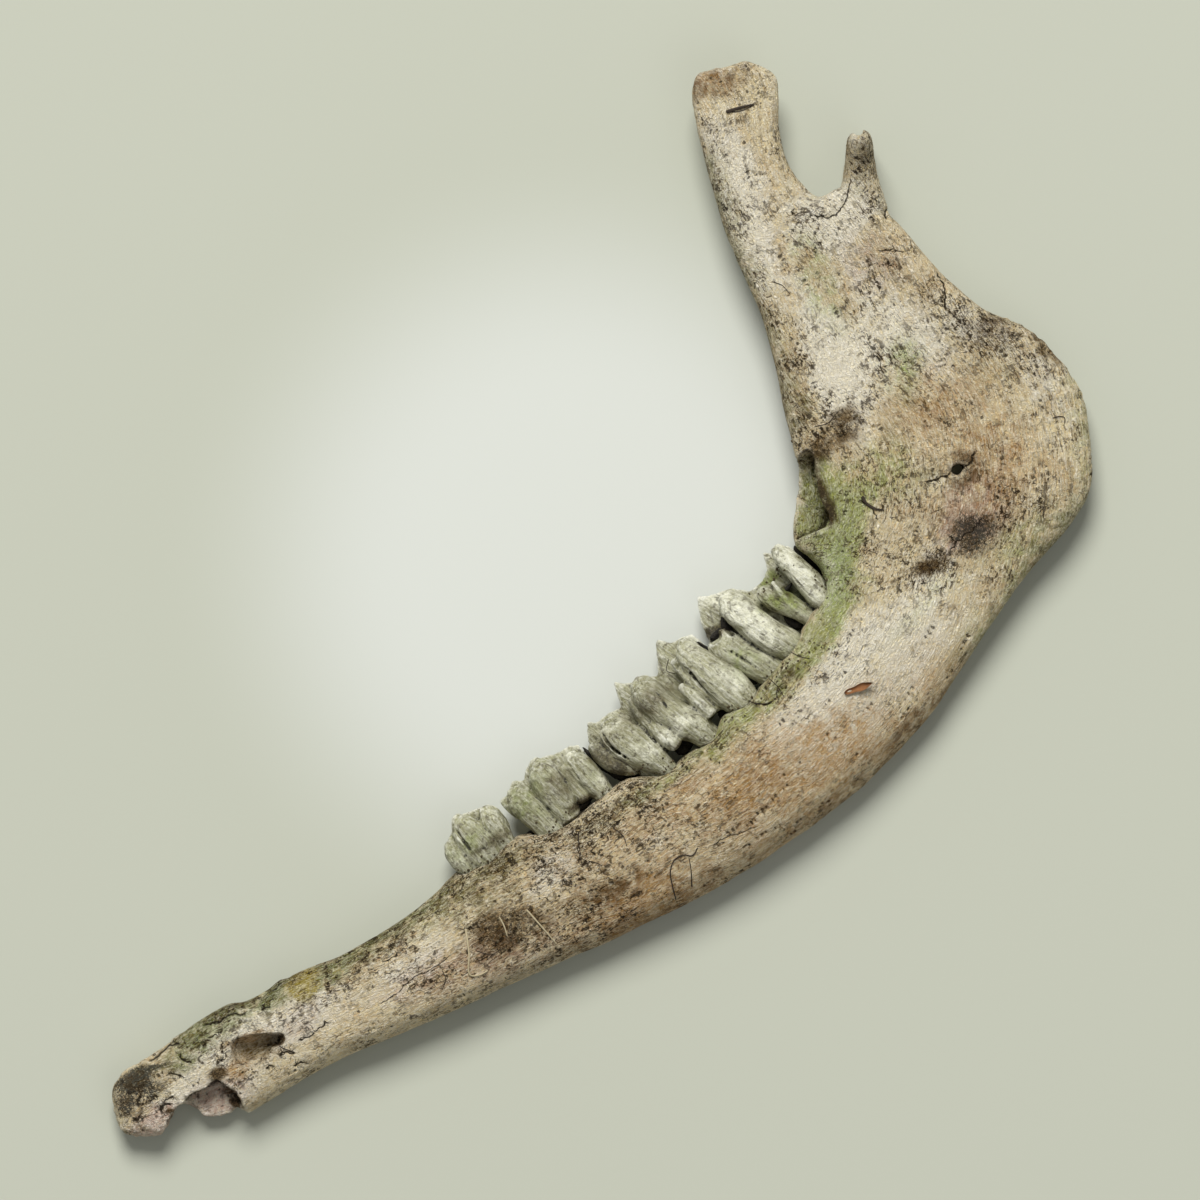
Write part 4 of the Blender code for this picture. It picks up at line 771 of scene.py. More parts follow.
class Surface:
    """A piece's points, normals and neighbours as arrays, in millimetres."""

    def __init__(self, piece):
        self.mesh = piece.data
        self.read()
        self.edges = values_of(self.mesh.edges, "vertices", 2, np.int32)
        self.degree = np.bincount(self.edges.ravel(), minlength=len(self.points))

    def read(self):
        """Takes points and normals from the mesh."""
        self.points = values_of(self.mesh.vertices, "co", 3) / MM + MIDDLE
        self.normals = values_of(self.mesh.vertex_normals, "vector", 3)

    def mean_of_neighbours(self, values):
        """For each point the mean of the values at the points it shares an edge with."""
        columns = np.atleast_2d(values.T)
        a, b = self.edges.T
        sums = [
            np.bincount(a, column[b], len(column)) + np.bincount(b, column[a], len(column))
            for column in columns
        ]
        return (np.array(sums) / self.degree).T.reshape(values.shape)

    def spread(self, values, times):
        """The values after being evened out with their neighbours that many times."""
        for _ in range(times):
            values = self.mean_of_neighbours(values)
        return values

    def smooth(self, rounds, amount=0.5):
        """Evens out the surface without shrinking it: a step to the neighbours' mean, then a
        slightly longer step away from it."""
        for _ in range(rounds):
            self.points += amount * (self.mean_of_neighbours(self.points) - self.points)
            self.points -= (amount + 0.02) * (self.mean_of_neighbours(self.points) - self.points)

    def hollowness(self, times):
        """How far the surface lies below its surroundings, in millimetres, over times edges."""
        around = self.spread(self.points, times)
        return np.einsum("ij,ij->i", around - self.points, self.normals)

    def write(self):
        """Puts the points into the mesh."""
        self.mesh.vertices.foreach_set("co", place(self.points).astype(np.float32).ravel())
        self.mesh.update()
        self.read()

    def store(self, name, values):
        """Keeps a value or a vector on each point, for the materials to read."""
        kind, key = ("FLOAT_VECTOR", "vector") if values.ndim == 2 else ("FLOAT", "value")
        layer = self.mesh.attributes.new(name, kind, "POINT")
        layer.data.foreach_set(key, values.astype(np.float32).ravel())


def grain_of(points):
    """Where each point lies by the bone's own grain, in millimetres: along the bone, across it and
    up. The rib that passes through the point gives the first, its share of that rib the second.
    Also how far in from the upper or front border each point lies, and from the lower or rear.

    The rib is the one whose line is nearest, counted three times as far where the point lies past
    the rib's ends, and its place is read between it and the next rib on the point's side.
    """
    ribs = np.asarray(RIBS, float)
    moved = np.diff(ribs, axis=0)
    travel = (np.hypot(moved[:, 0], moved[:, 1]) + np.hypot(moved[:, 2], moved[:, 3])) / 2
    along = np.concatenate([[0.0], np.cumsum(travel)])
    reads = np.linspace(0, along[-1], RIB_READS)
    ends = through(np.column_stack([along, ribs]), reads)
    upper, run = ends[:, 0:2], ends[:, 2:4] - ends[:, 0:2]
    width = np.linalg.norm(run, axis=1)
    grain = np.empty_like(points)
    grain[:, 2] = points[:, 2]
    borders = np.empty((2, len(points)))
    at_a_time = 20000
    for part in np.array_split(np.arange(len(points)), max(1, len(points) // at_a_time)):
        away = points[part, None, 0:2] - upper
        side = (away[..., 0] * run[:, 1] - away[..., 1] * run[:, 0]) / width
        share = (away * run).sum(axis=2) / width**2
        outside = np.maximum(0, np.abs(share - 0.5) - 0.55) * width
        best = np.argmin(np.abs(side) + 3 * outside, axis=1)
        row = np.arange(len(part))
        beside = np.clip(best + np.where(side[row, best] > 0, 1, -1), 0, len(reads) - 1)
        first, second = side[row, best], side[row, beside]
        gap = np.where(np.abs(first - second) < 1e-6, 1, first - second)
        t = np.where(beside == best, 0, np.clip(first / gap, 0, 1))
        beyond = first - t * gap
        grain[part, 0] = reads[best] + t * (reads[beside] - reads[best]) + beyond
        both = share[row, best] + t * (share[row, beside] - share[row, best])
        span = width[best] + t * (width[beside] - width[best])
        grain[part, 1] = (both - 0.5) * span
        borders[:, part] = both * span, (1 - both) * span
    return grain, {"upper": borders[0], "lower": borders[1]}


def crack_fields(points, cracks):
    """Distance to the nearest crack, in its half widths and with a sign for the side, the share of
    its strength there, and the depth it cuts.

    Each crack is a smooth line through its points with small random kinks. Its strength fades over
    the last tenth at both ends.
    """
    count = len(points)
    unreached, kink, margin = 30.0, 0.16, 2.5
    signed, strength, depth = np.full(count, unreached), np.zeros(count), np.zeros(count)
    dice = np.random.default_rng(5)
    for half, deep, corners in cracks:
        rows = np.column_stack([np.array(corners), np.zeros(len(corners))])
        line = by_length(rows, 5 * len(corners) + 4)[:, :2]
        line[1:-1] += dice.normal(0, kink, line[1:-1].shape)
        low, high = line.min(axis=0) - margin, line.max(axis=0) + margin
        near = np.flatnonzero(((points[:, :2] > low) & (points[:, :2] < high)).all(axis=1))
        near = near[points[near, 2] > LOWEST_CRACK]
        if not len(near):
            continue
        start, run = line[:-1], np.diff(line, axis=0)
        away = points[near, None, :2] - start
        share = np.clip((away * run).sum(axis=2) / (run**2).sum(axis=1), 0, 1)
        gap = away - share[..., None] * run
        reach = np.linalg.norm(gap, axis=2)
        best = np.argmin(reach, axis=1)
        row = np.arange(len(near))
        side = np.sign(run[best, 0] * gap[row, best, 1] - run[best, 1] * gap[row, best, 0])
        place_along = (best + share[row, best]) / len(run)
        fade = smooth_step(np.minimum(place_along, 1 - place_along) / 0.1)
        distance = reach[row, best] / half
        closer = distance < np.abs(signed[near])
        chosen = near[closer]
        signed[chosen] = (side * distance)[closer]
        strength[chosen] = fade[closer]
        depth[chosen] = (deep * fade * np.exp(-(distance / 2) ** 2))[closer]
    return signed, strength, depth


def plain_bone():
    """The loft of the solids' own ribs with the condyle's neck added, and with the broken edges,
    the crypt, the hole at the chin, the canals and the rooms of the teeth cut out."""
    bone = mesh_piece("jaw_bone", [bone_rings(RIBS, BUILD, RIB_READS, 10, 26)])
    neck = mesh_piece("neck_form", [bone_rings(NECK_RIBS, NECK_BUILD, 60, 8, 12)])
    cut(bone, neck, "UNION")
    for number, outline in enumerate((BROKEN_CHIN, LOST_CHEEK_WALL)):
        cut(bone, opening_piece(outline, number))
    cut(bone, crypt_piece())
    cut(bone, chin_hole_piece())
    for canal in CANALS:
        cut(bone, mesh_piece("canal", [column_rings(canal, 0.6, 0.6)]))
    for name in COLUMNS:
        room = mesh_piece("room", tooth_lofts(name, SOCKET_GAP))
        grow_together(room, ROOM_CELL)
        cut(bone, room)
    grow_together(bone, BONE_CELL)
    thin_inner_side(bone)
    return bone


def bone_stains_and_shade(points, warped, grain, borders):
    """Strength of each mask of stains and painted shade on each point: its patches, read where the
    noise moved the points to, and along a border strength * exp(-(distance in / width)^2), faded in
    and out along the bone."""
    masks = {key: patches(rows, warped, 1.3) for key, rows in STAINS_AND_SHADE.items()}
    along = grain[:, 0]
    uneven = waves(points, BORDER_WAVES)
    for key, side, start, end, wide, strength in BORDER_STAINS_AND_SHADE:
        within = smooth_step((along - start) / BORDER_FADE) * smooth_step((end - along) / BORDER_FADE)
        inward = np.maximum(0, borders[side] + uneven)
        masks[key] += strength * within * np.exp(-(inward / wide) ** 2)
    masks["flecked"] += waves(points, FLECK_WAVES)
    return masks


def bone_relief(points, warped, grain):
    """Height of the bone's relief on each point: swellings, fibres along the grain, finer grit and
    pits that are longer along it, both more where the bone is porous, and torn forms where it is
    ragged."""
    porous = np.clip(patches(POROUS, warped, 1.5), 0, 1)
    relief = waves(points, BONE_SWELLS) + waves(grain, BONE_FIBRES)
    relief += waves(points, BONE_GRIT) * (1 + 2.2 * porous)
    for size, share, deep, seed in BONE_PITS:
        away, owner = pits(grain, (size * 1.5, size, size), seed)
        radius = share * (0.5 + 0.5 * np.abs(owner))
        open_here = owner > 0.72 - 0.9 * porous
        relief -= deep * open_here * smooth_step(1.4 - away / radius)
    ragged = np.clip(patches(RAGGED, points, 2.0), 0, 1)
    return relief + ragged * waves(points, RAGGED_RELIEF)


def bone_piece():
    """The jawbone: the plain bone, smoothed where the neck leaves it, then moved along its normals
    by the relief less the depth of the cracks. Its stains, partly painted shade and highlight, its
    grain and its hollows, which set painted shade and highlight, stay on its points."""
    bone = plain_bone()
    surface = Surface(bone)
    blend_neck(surface)
    surface.smooth(6)
    surface.write()
    points = surface.points
    grain, borders = grain_of(points)
    warped = warp(points, BONE_WARP)
    masks = bone_stains_and_shade(points, warped, grain, borders)
    signed, strength, depth = crack_fields(points, CRACKS)
    # No crack is cut into the inner side, where the surface faces down.
    upward = smooth_step((surface.normals[:, 2] + 0.5) / 0.6)
    relief = bone_relief(points, warped, grain) - depth * upward
    surface.points += surface.normals * relief[:, None]
    surface.points[:, 2] = np.maximum(surface.points[:, 2], 0)
    surface.write()

    # Depth for the painted shade in hollows and the painted highlight where the bone stands proud:
    # narrow hollows count most and wide ones a little, and less where light reaches the chin's hole.
    hollow_shading = surface.hollowness(3) * 5 + surface.hollowness(12) * 1.2
    hollow_shading *= 1 - 0.7 * np.clip(patches(LIT_HOLE, points), 0, 1)
    surface.store("grain", grain)
    surface.store("crack", signed)
    surface.store("crack_strength", strength * upward)
    surface.store("hollow_shading", hollow_shading)
    for key, values in masks.items():
        surface.store(key, values)
    modifier(bone, "DECIMATE", ratio=KEPT_SHARE)
    settle(bone)
    return bone


def opening_piece(outline, number):
    """Upright cutter over an outline that is read more finely, with small random breaks."""
    dice = np.random.default_rng(number)
    rows = np.asarray(outline, float)
    closed = np.vstack([rows, rows[:1]])
    line = by_length(closed, 8 * len(rows))[:-1]
    line[:, :2] += dice.normal(0, 0.10, line[:, :2].shape)
    top = line.copy()
    top[:, 2] = ABOVE_ALL
    return mesh_piece("opening", [np.stack([line, top])])


def chin_hole_piece():
    """Bowl-shaped cutter for the hole at the chin: its outline, drawn in towards its middle as it
    goes down."""
    rows = np.array(CHIN_HOLE)
    line = by_length(np.vstack([rows, rows[:1]]), 90)[:-1, :2]
    line += np.random.default_rng(4).normal(0, 0.07, line.shape)
    height, size = np.array(CHIN_HOLE_DEPTHS).T[:, :, None]
    flat = CHIN_HOLE_MIDDLE + size[..., None] * (line - CHIN_HOLE_MIDDLE)
    return mesh_piece("chin_hole", [np.dstack([flat, height + 0 * flat[..., 0]])])


def crypt_piece():
    """Cutter for the open crypt: at each place along the broken edge a section that drops at the
    edge and rises away from it along the floor's heights, up to the full surface at both ends."""
    count, full_height = 70, 15
    line = by_length(CRYPT_EDGE, count)
    line[:, :2] += np.random.default_rng(9).normal(0, 0.09, (count, 2))
    # The sections run forward and up from the edge.
    turn = np.radians(np.linspace(144, 166, count))
    away, floor = np.array(CRYPT_FLOOR).T
    low = floor * line[:, 2:] + full_height * (1 - line[:, 2:])
    flat = line[:, None, :2] + away[:, None] * np.stack([np.cos(turn), np.sin(turn)], axis=1)[:, None]
    bottom = np.dstack([flat, low])
    top = np.dstack([flat[:, ::-1], np.full_like(low, ABOVE_ALL)])
    return mesh_piece("crypt", [np.concatenate([bottom, top], axis=1)])


def thin_inner_side(bone):
    """Leaves fewer, larger triangles on the side that the bone rests on."""
    surface = Surface(bone)
    group = bone.vertex_groups.new(name="inner_side")
    below = np.flatnonzero(surface.normals[:, 2] < -0.35)
    group.add(below.tolist(), 1.0, "REPLACE")
    modifier(bone, "DECIMATE", ratio=INNER_SHARE, vertex_group=group.name, vertex_group_factor=1.0)
    settle(bone)
    bone.vertex_groups.clear()


def blend_neck(surface):
    """Smooths the crease where the condyle's neck leaves the plate: many small steps of the height
    towards the neighbours' mean."""
    near = np.clip(patches(NECK_ROOT, surface.points, 2.0), 0, 1)
    for _ in range(60):
        mean = surface.mean_of_neighbours(surface.points)
        surface.points[:, 2] += near * (mean[:, 2] - surface.points[:, 2])


def tooth_lofts(name, grow=0.0):
    """Lofts that make up a tooth, or with grow the room round it."""
    lofts = []
    for rows in COLUMNS[name] + ROOTS[name]:
        rows = np.asarray(rows, float)
        rows[:, 3:] += grow
        lofts.append(column_rings(rows))
    walls = np.asarray(CRESTS[name], float)
    walls[:, 4:] += grow
    lofts.append(crest_rings(walls))
    return lofts


def tooth_piece(name, number):
    """A tooth: its columns, inner wall and roots grown together, then ridged, pitted and chipped.

    Its grain runs up the tooth and leans with its first column.
    """
    tooth = mesh_piece(f"cheek_tooth_{number}", tooth_lofts(name))
    grow_together(tooth, TOOTH_CELL)
    for fold in FOLDS[name]:
        cut(tooth, mesh_piece("fold", [column_rings(fold, 0.6, 0.6)]))
    grow_together(tooth, TOOTH_CELL)
    surface = Surface(tooth)
    surface.smooth(3)
    surface.write()
    points = surface.points
    rows = np.array(COLUMNS[name][0], float)
    lean = (rows[-1, 0] - rows[0, 0]) / (rows[-1, 1] - rows[0, 1])
    grain = np.column_stack([points[:, 1], points[:, 0] - lean * points[:, 1], points[:, 2]])
    relief = waves(points, TOOTH_SWELLS) + waves(grain, TOOTH_RIDGES)
    size, share, deep, seed = TOOTH_PITS
    away, owner = pits(points, size, seed)
    relief -= deep * (owner > 0.45) * smooth_step(1.4 - away / share)
    # Chips begin 9 mm below the tip and are full 2 mm below it.
    chipped = smooth_step((points[:, 1] - points[:, 1].max() + 9) / 7)
    relief += 0.14 * chipped * noise(points, 0.8, 45)
    surface.points += surface.normals * relief[:, None]
    surface.write()
    # Depth for the near-black painted shade in the folds and the painted highlight where the tooth
    # stands proud.
    hollow_shading = surface.hollowness(3) * 4 + surface.hollowness(14) * 1.6
    surface.store("grain", grain)
    surface.store("hollow_shading", hollow_shading)
    warped = warp(points, TOOTH_WARP)
    for key, stains in TOOTH_STAINS_AND_SHADE.items():
        surface.store(key, patches(stains, warped, 1.3))
    return tooth


def dress(piece, material):
    """Gives the whole piece one material."""
    piece.data.materials.clear()
    piece.data.materials.append(material)
    piece.data.polygons.foreach_set("material_index", np.zeros(len(piece.data.polygons), np.int32))


def linear(code):
    """sRGB hex colour as linear red, green, blue and alpha."""
    channels = [int(code[i:i + 2], 16) / 255 for i in (0, 2, 4)]
    return [c / 12.92 if c < 0.04045 else ((c + 0.055) / 1.055) ** 2.4 for c in channels] + [1.0]


def add(tree, kind, inputs=None, **settings):
    """Adds a node with its settings, and on its sockets a value or a link from a node or socket."""
    made = tree.nodes.new(kind)
    for key, value in settings.items():
        setattr(made, key, value)
    for key, value in (inputs or {}).items():
        if isinstance(value, bpy.types.Node):
            value = next(out for out in value.outputs if out.enabled)
        if isinstance(value, bpy.types.NodeSocket):
            tree.links.new(value, made.inputs[key])
        else:
            made.inputs[key].default_value = value
    return made


def new_material(name):
    """A material and its empty node tree."""
    material = bpy.data.materials.new(name)
    material.use_nodes = True
    material.node_tree.nodes.clear()
    return material, material.node_tree


def mottle(tree, size_mm, seed, low, high, detail=3.0, stretch=None, swirl=0.0):
    """Random patches from 0 to 1: noise of that size in millimetres, raised between low and high.
    With a stretch they are that many times longer along the grain, and a swirl curls them."""
    if stretch:
        spot = add(tree, "ShaderNodeAttribute", attribute_name="grain").outputs["Vector"]
        scale = (1 / size_mm / stretch, 1 / size_mm, 1 / size_mm)
    else:
        spot = add(tree, "ShaderNodeTexCoord").outputs["Object"]
        scale = (1 / MM / size_mm,) * 3
    moved = add(tree, "ShaderNodeMapping", {"Vector": spot, "Location": (seed,) * 3, "Scale": scale})
    grains = add(tree, "ShaderNodeTexNoise", {
        "Vector": moved, "Scale": 1.0, "Detail": detail, "Roughness": 0.65, "Distortion": swirl})
    return add(tree, "ShaderNodeMapRange", {
        "Value": grains, "From Min": low, "From Max": high}, interpolation_type="SMOOTHSTEP")


def hair_marks(tree, size_mm, seed, half, patch_mm, low):
    """Short thin curved marks: where a noise crosses its middle value, in scattered patches."""
    wave = mottle(tree, size_mm, seed, 0.0, 1.0, 1.5, stretch=1.5)
    off_middle = add(tree, "ShaderNodeMath", {0: wave, 1: 0.5}, operation="SUBTRACT")
    off_middle = add(tree, "ShaderNodeMath", {0: off_middle}, operation="ABSOLUTE")
    lines = add(tree, "ShaderNodeMapRange", {
        "Value": off_middle, "From Min": half, "From Max": 0.3 * half})
    patches_of = mottle(tree, patch_mm, seed + 5, low, low + 0.06, 2.0)
    return add(tree, "ShaderNodeMath", {0: lines, 1: patches_of}, operation="MULTIPLY")


def stored_mask(tree, name, edge, low, high):
    """Where a stored mask lies, from 0 to 1: its stored strength, times the edge pattern plus a half.
    Its masks hold stains, painted shade and a painted highlight.
    """
    strength = add(tree, "ShaderNodeAttribute", attribute_name=name).outputs["Fac"]
    edge = add(tree, "ShaderNodeMath", {0: edge, 1: 0.5}, operation="ADD")
    uneven = add(tree, "ShaderNodeMath", {0: strength, 1: edge}, operation="MULTIPLY")
    return add(tree, "ShaderNodeMapRange", {
        "Value": uneven, "From Min": low, "From Max": high}, interpolation_type="SMOOTHSTEP")


def flecks(tree, pattern, low, high):
    """Where specks lie, from 0 to 1: the pattern plus the stored share of specks there."""
    share = add(tree, "ShaderNodeAttribute", attribute_name="flecked").outputs["Fac"]
    both = add(tree, "ShaderNodeMath", {0: share, 1: pattern}, operation="ADD")
    return add(tree, "ShaderNodeMapRange", {"Value": both, "From Min": low, "From Max": high})


def film(tree, below, code, cover, most, blend="MIX"):
    """What lies below with a colour laid over it, as thick as cover times most."""
    thick = add(tree, "ShaderNodeMath", {0: cover, 1: most}, operation="MULTIPLY")
    return add(tree, "ShaderNodeMix", {0: thick, 6: below, 7: linear(code)}, data_type="RGBA",
               blend_type=blend)


def films_over(tree, colour, rows):
    """The colour under films of stains and painted shade: rows of hex colour, stored mask, edge
    pattern, strengths at which it begins and is whole, thickness, and way of blending."""
    for code, name, edge, low, high, most, blend in rows:
        colour = film(tree, colour, code, stored_mask(tree, name, edge, low, high), most, blend)
    return colour


def weathered_bone():
    """Old bone, whitened and stained outdoors: dry and rough, fibrous along its length, cream where
    the weather cleaned it, brown where soil lay on it and green where algae grew. Some pale patches
    are also a painted highlight, and some brown, grey-green and near-black films are painted shade.

    Real fibres and grit are near a tenth of a millimetre, too fine for the picture, so they are
    drawn as coarse as they need to show. The numbers of a mottle are its size in millimetres, its
    place in the noise, and the noise values at which it begins and is whole.
    """
    material, tree = new_material("weathered_bone")
    broad = mottle(tree, 10.0, 3.0, 0.36, 0.64, 4.0)
    patch = mottle(tree, 2.8, 7.0, 0.34, 0.66, 5.0, swirl=0.6)
    grit = mottle(tree, 0.46, 13.0, 0.36, 0.64, 3.0, swirl=1.2)
    fibre = mottle(tree, 0.32, 17.0, 0.38, 0.62, 3.0, stretch=4.0)
    streak = mottle(tree, 0.9, 23.0, 0.40, 0.70, 4.0, stretch=5.0)
    marked = add(tree, "ShaderNodeAttribute", attribute_name="flecked").outputs["Fac"]
    # Bare bone: cream to beige in patches, with pale and dark fibres.
    colour = add(tree, "ShaderNodeMix", {0: broad, 6: linear("DCC18E"), 7: linear("F6E3B4")},
                 data_type="RGBA")
    colour = film(tree, colour, "F2E4BE", patch, 0.5)
    colour = film(tree, colour, "8E7448", streak, 0.35)
    # Stains, partly painted light: the pale film paints a highlight along the ramus ridge, and the
    # brownish and grey-green films paint shade in the chin's hole, behind the crypt and along borders.
    colour = films_over(tree, colour, (
        ("FFF5DA", "bleached_and_highlight", patch, 0.0, 0.85, 0.93, "MIX"),
        ("C6A26C", "tan_and_shade", patch, 0.05, 1.2, 0.9, "MULTIPLY"),
        ("CDB4B4", "lilac", patch, 0.0, 1.1, 0.85, "MULTIPLY"),
        ("A3A384", "olive_and_shade", patch, 0.05, 1.1, 0.95, "MULTIPLY"),
        ("B6CC8A", "algae", patch, 0.0, 1.0, 0.95, "MULTIPLY"),
        ("6C7A34", "algae", fibre, 0.9, 2.0, 0.5, "MIX"),
        ("9C8820", "lichen", grit, 0.3, 1.0, 0.95, "MIX"),
    ))
    # What stands proud is paler, partly worn and partly a painted highlight, and grit and fibres
    # stay as a faint pattern of light and dark.
    colour = film(tree, colour, "FFF8E4", fibre, 0.30)
    hollow_shading = add(tree, "ShaderNodeAttribute", attribute_name="hollow_shading").outputs["Fac"]
    proud = add(tree, "ShaderNodeMapRange", {"Value": hollow_shading, "From Min": -0.1, "From Max": -0.7})
    colour = film(tree, colour, "FBF3DC", proud, 0.35)
    rough = add(tree, "ShaderNodeMapRange", {"Value": marked, "To Min": 0.12, "To Max": 0.30})
    colour = add(tree, "ShaderNodeMix", {0: rough, 6: colour, 7: grit}, data_type="RGBA",
                 blend_type="OVERLAY")
    colour = add(tree, "ShaderNodeMix", {0: 0.08, 6: colour, 7: fibre}, data_type="RGBA",
                 blend_type="OVERLAY")
    # Soil: brown films, partly painted shade in the crypt, the chin's hole and along the borders, short
    # dashes along the fibres and curled specks.
    colour = films_over(tree, colour, (
        ("7E6A48", "dirt_and_shade", patch, 0.1, 1.2, 0.9, "MULTIPLY"),
        ("33281A", "dirt_and_shade", grit, 0.6, 1.4, 0.85, "MIX"),
        ("2B2B26", "charcoal", grit, 0.15, 0.85, 0.92, "MIX"),
    ))
    speck = flecks(tree, mottle(tree, 0.42, 31.0, 0.25, 0.75, 3.0, swirl=2.0), 1.28, 1.38)
    dash = flecks(tree, mottle(tree, 0.30, 37.0, 0.25, 0.75, 3.0, stretch=3.0), 1.08, 1.22)
    colour = film(tree, colour, "4C3512", dash, 0.68)
    colour = film(tree, colour, "2A1A08", speck, 0.9)
    # Hair-thin marks with a brown halo, cracks as dark lines, and near-black painted shade in hollows.
    marks = add(tree, "ShaderNodeMath", {
        0: hair_marks(tree, 1.2, 41.0, 0.12, 1.6, 0.52),
        1: hair_marks(tree, 2.4, 47.0, 0.06, 2.2, 0.54)}, operation="MAXIMUM")
    often = add(tree, "ShaderNodeMapRange", {
        "Value": marked, "From Min": 0.15, "From Max": 0.5, "To Min": 0.1, "To Max": 1.0})
    marks = add(tree, "ShaderNodeMath", {0: marks, 1: often}, operation="MULTIPLY")
    beside = add(tree, "ShaderNodeAttribute", attribute_name="crack").outputs["Fac"]
    beside = add(tree, "ShaderNodeMath", {0: beside}, operation="ABSOLUTE")
    line = add(tree, "ShaderNodeMapRange", {"Value": beside, "From Min": 1.3, "From Max": 0.4})
    line = add(tree, "ShaderNodeMath", {
        0: line, 1: add(tree, "ShaderNodeAttribute", attribute_name="crack_strength").outputs["Fac"]},
        operation="MULTIPLY")
    halo = add(tree, "ShaderNodeMath", {
        0: hair_marks(tree, 1.2, 41.0, 0.30, 1.6, 0.50), 1: often}, operation="MULTIPLY")
    colour = film(tree, colour, "8A6A34", halo, 0.32)
    colour = film(tree, colour, "1E1304", marks, 0.92)
    colour = film(tree, colour, "17110A", line, 0.92)
    colour = film(tree, colour, "2C2110", stored_mask(tree, "hollow_shading", grit, 0.15, 0.9), 0.85)
    # Fibres and grit stand up, and specks, marks and cracks lie low. The pale patches are duller.
    relief = add(tree, "ShaderNodeMath", {0: fibre, 1: grit}, operation="ADD")
    relief = add(tree, "ShaderNodeMath", {0: relief, 1: speck}, operation="SUBTRACT")
    relief = add(tree, "ShaderNodeMath", {0: relief, 1: marks}, operation="SUBTRACT")
    relief = add(tree, "ShaderNodeMath", {0: relief, 1: line}, operation="SUBTRACT")
    bump = add(tree, "ShaderNodeBump", {"Height": relief, "Strength": 0.9, "Distance": 0.24 * MM})
    dull = add(tree, "ShaderNodeMapRange", {"Value": patch, "To Min": 0.62, "To Max": 0.86})
    shader = add(tree, "ShaderNodeBsdfPrincipled", {
        "Base Color": colour, "Normal": bump, "Roughness": dull, "IOR": 1.5,
        "Specular IOR Level": 0.15})
    add(tree, "ShaderNodeOutputMaterial", {"Surface": shader})
    return material


def old_enamel():
    """Enamel and cement of an old tooth: ivory, finely ridged towards the tip, a little smoother
    than bone, with green and brown films, near-black painted shade in its folds, a painted highlight
    where it stands proud, and black specks in its pits."""
    material, tree = new_material("old_enamel")
    patch = mottle(tree, 2.4, 3.0, 0.32, 0.68, 4.0)
    grit = mottle(tree, 0.42, 5.0, 0.35, 0.65, 3.0)
    ridge = mottle(tree, 0.42, 9.0, 0.38, 0.66, 3.0, stretch=9.0)
    band = mottle(tree, 1.3, 12.0, 0.36, 0.66, 3.0, stretch=2.2, swirl=0.8)
    # Grey-green cement with ivory enamel over it, banded and ridged, with a painted highlight where it
    # stands proud.
    colour = add(tree, "ShaderNodeMix", {0: patch, 6: linear("7C7957"), 7: linear("A19F7C")},
                 data_type="RGBA")
    colour = film(tree, colour, "F0EED6", stored_mask(tree, "bleached_and_highlight", patch, 0.1, 1.1), 0.75)
    colour = film(tree, colour, "6E6A48", band, 0.45)
    colour = film(tree, colour, "EDEBDA", ridge, 0.30)
    hollow_shading = add(tree, "ShaderNodeAttribute", attribute_name="hollow_shading").outputs["Fac"]
    proud = add(tree, "ShaderNodeMapRange", {"Value": hollow_shading, "From Min": -0.1, "From Max": -0.8})
    colour = film(tree, colour, "F6F5E6", proud, 0.60)
    # Algae, soil, partly painted shade in the first molar's folds, specks and hair-thin marks, and the
    # near-black painted shade in the folds.
    colour = film(tree, colour, "9EAA5C", stored_mask(tree, "algae", patch, 0.1, 1.3), 0.9, "MULTIPLY")
    colour = add(tree, "ShaderNodeMix", {0: 0.14, 6: colour, 7: grit}, data_type="RGBA",
                 blend_type="OVERLAY")
    colour = films_over(tree, colour, (
        ("8C7E5C", "dirt_and_shade", patch, 0.1, 1.2, 0.85, "MULTIPLY"),
        ("2E2718", "dirt_and_shade", grit, 0.5, 1.3, 0.8, "MIX"),
    ))
    speck = mottle(tree, 0.38, 25.0, 0.61, 0.68, 3.0, swirl=1.5)
    marks = add(tree, "ShaderNodeMath", {
        0: hair_marks(tree, 1.6, 21.0, 0.09, 1.9, 0.56),
        1: hair_marks(tree, 2.8, 27.0, 0.06, 2.2, 0.54)}, operation="MAXIMUM")
    colour = film(tree, colour, "3A2C16", speck, 0.4)
    colour = film(tree, colour, "33240F", marks, 0.5)
    colour = film(tree, colour, "15110A", stored_mask(tree, "hollow_shading", grit, 0.05, 0.85), 0.95)
    # Ridges and grit stand up, and specks and marks lie low.
    relief = add(tree, "ShaderNodeMath", {0: ridge, 1: grit}, operation="ADD")
    relief = add(tree, "ShaderNodeMath", {0: relief, 1: speck}, operation="SUBTRACT")
    relief = add(tree, "ShaderNodeMath", {0: relief, 1: marks}, operation="SUBTRACT")
    bump = add(tree, "ShaderNodeBump", {"Height": relief, "Strength": 0.6, "Distance": 0.12 * MM})
    dull = add(tree, "ShaderNodeMapRange", {"Value": patch, "To Min": 0.40, "To Max": 0.66})
    shader = add(tree, "ShaderNodeBsdfPrincipled", {
        "Base Color": colour, "Normal": bump, "Roughness": dull, "IOR": 1.6,
        "Specular IOR Level": 0.3})
    add(tree, "ShaderNodeOutputMaterial", {"Surface": shader})
    return material


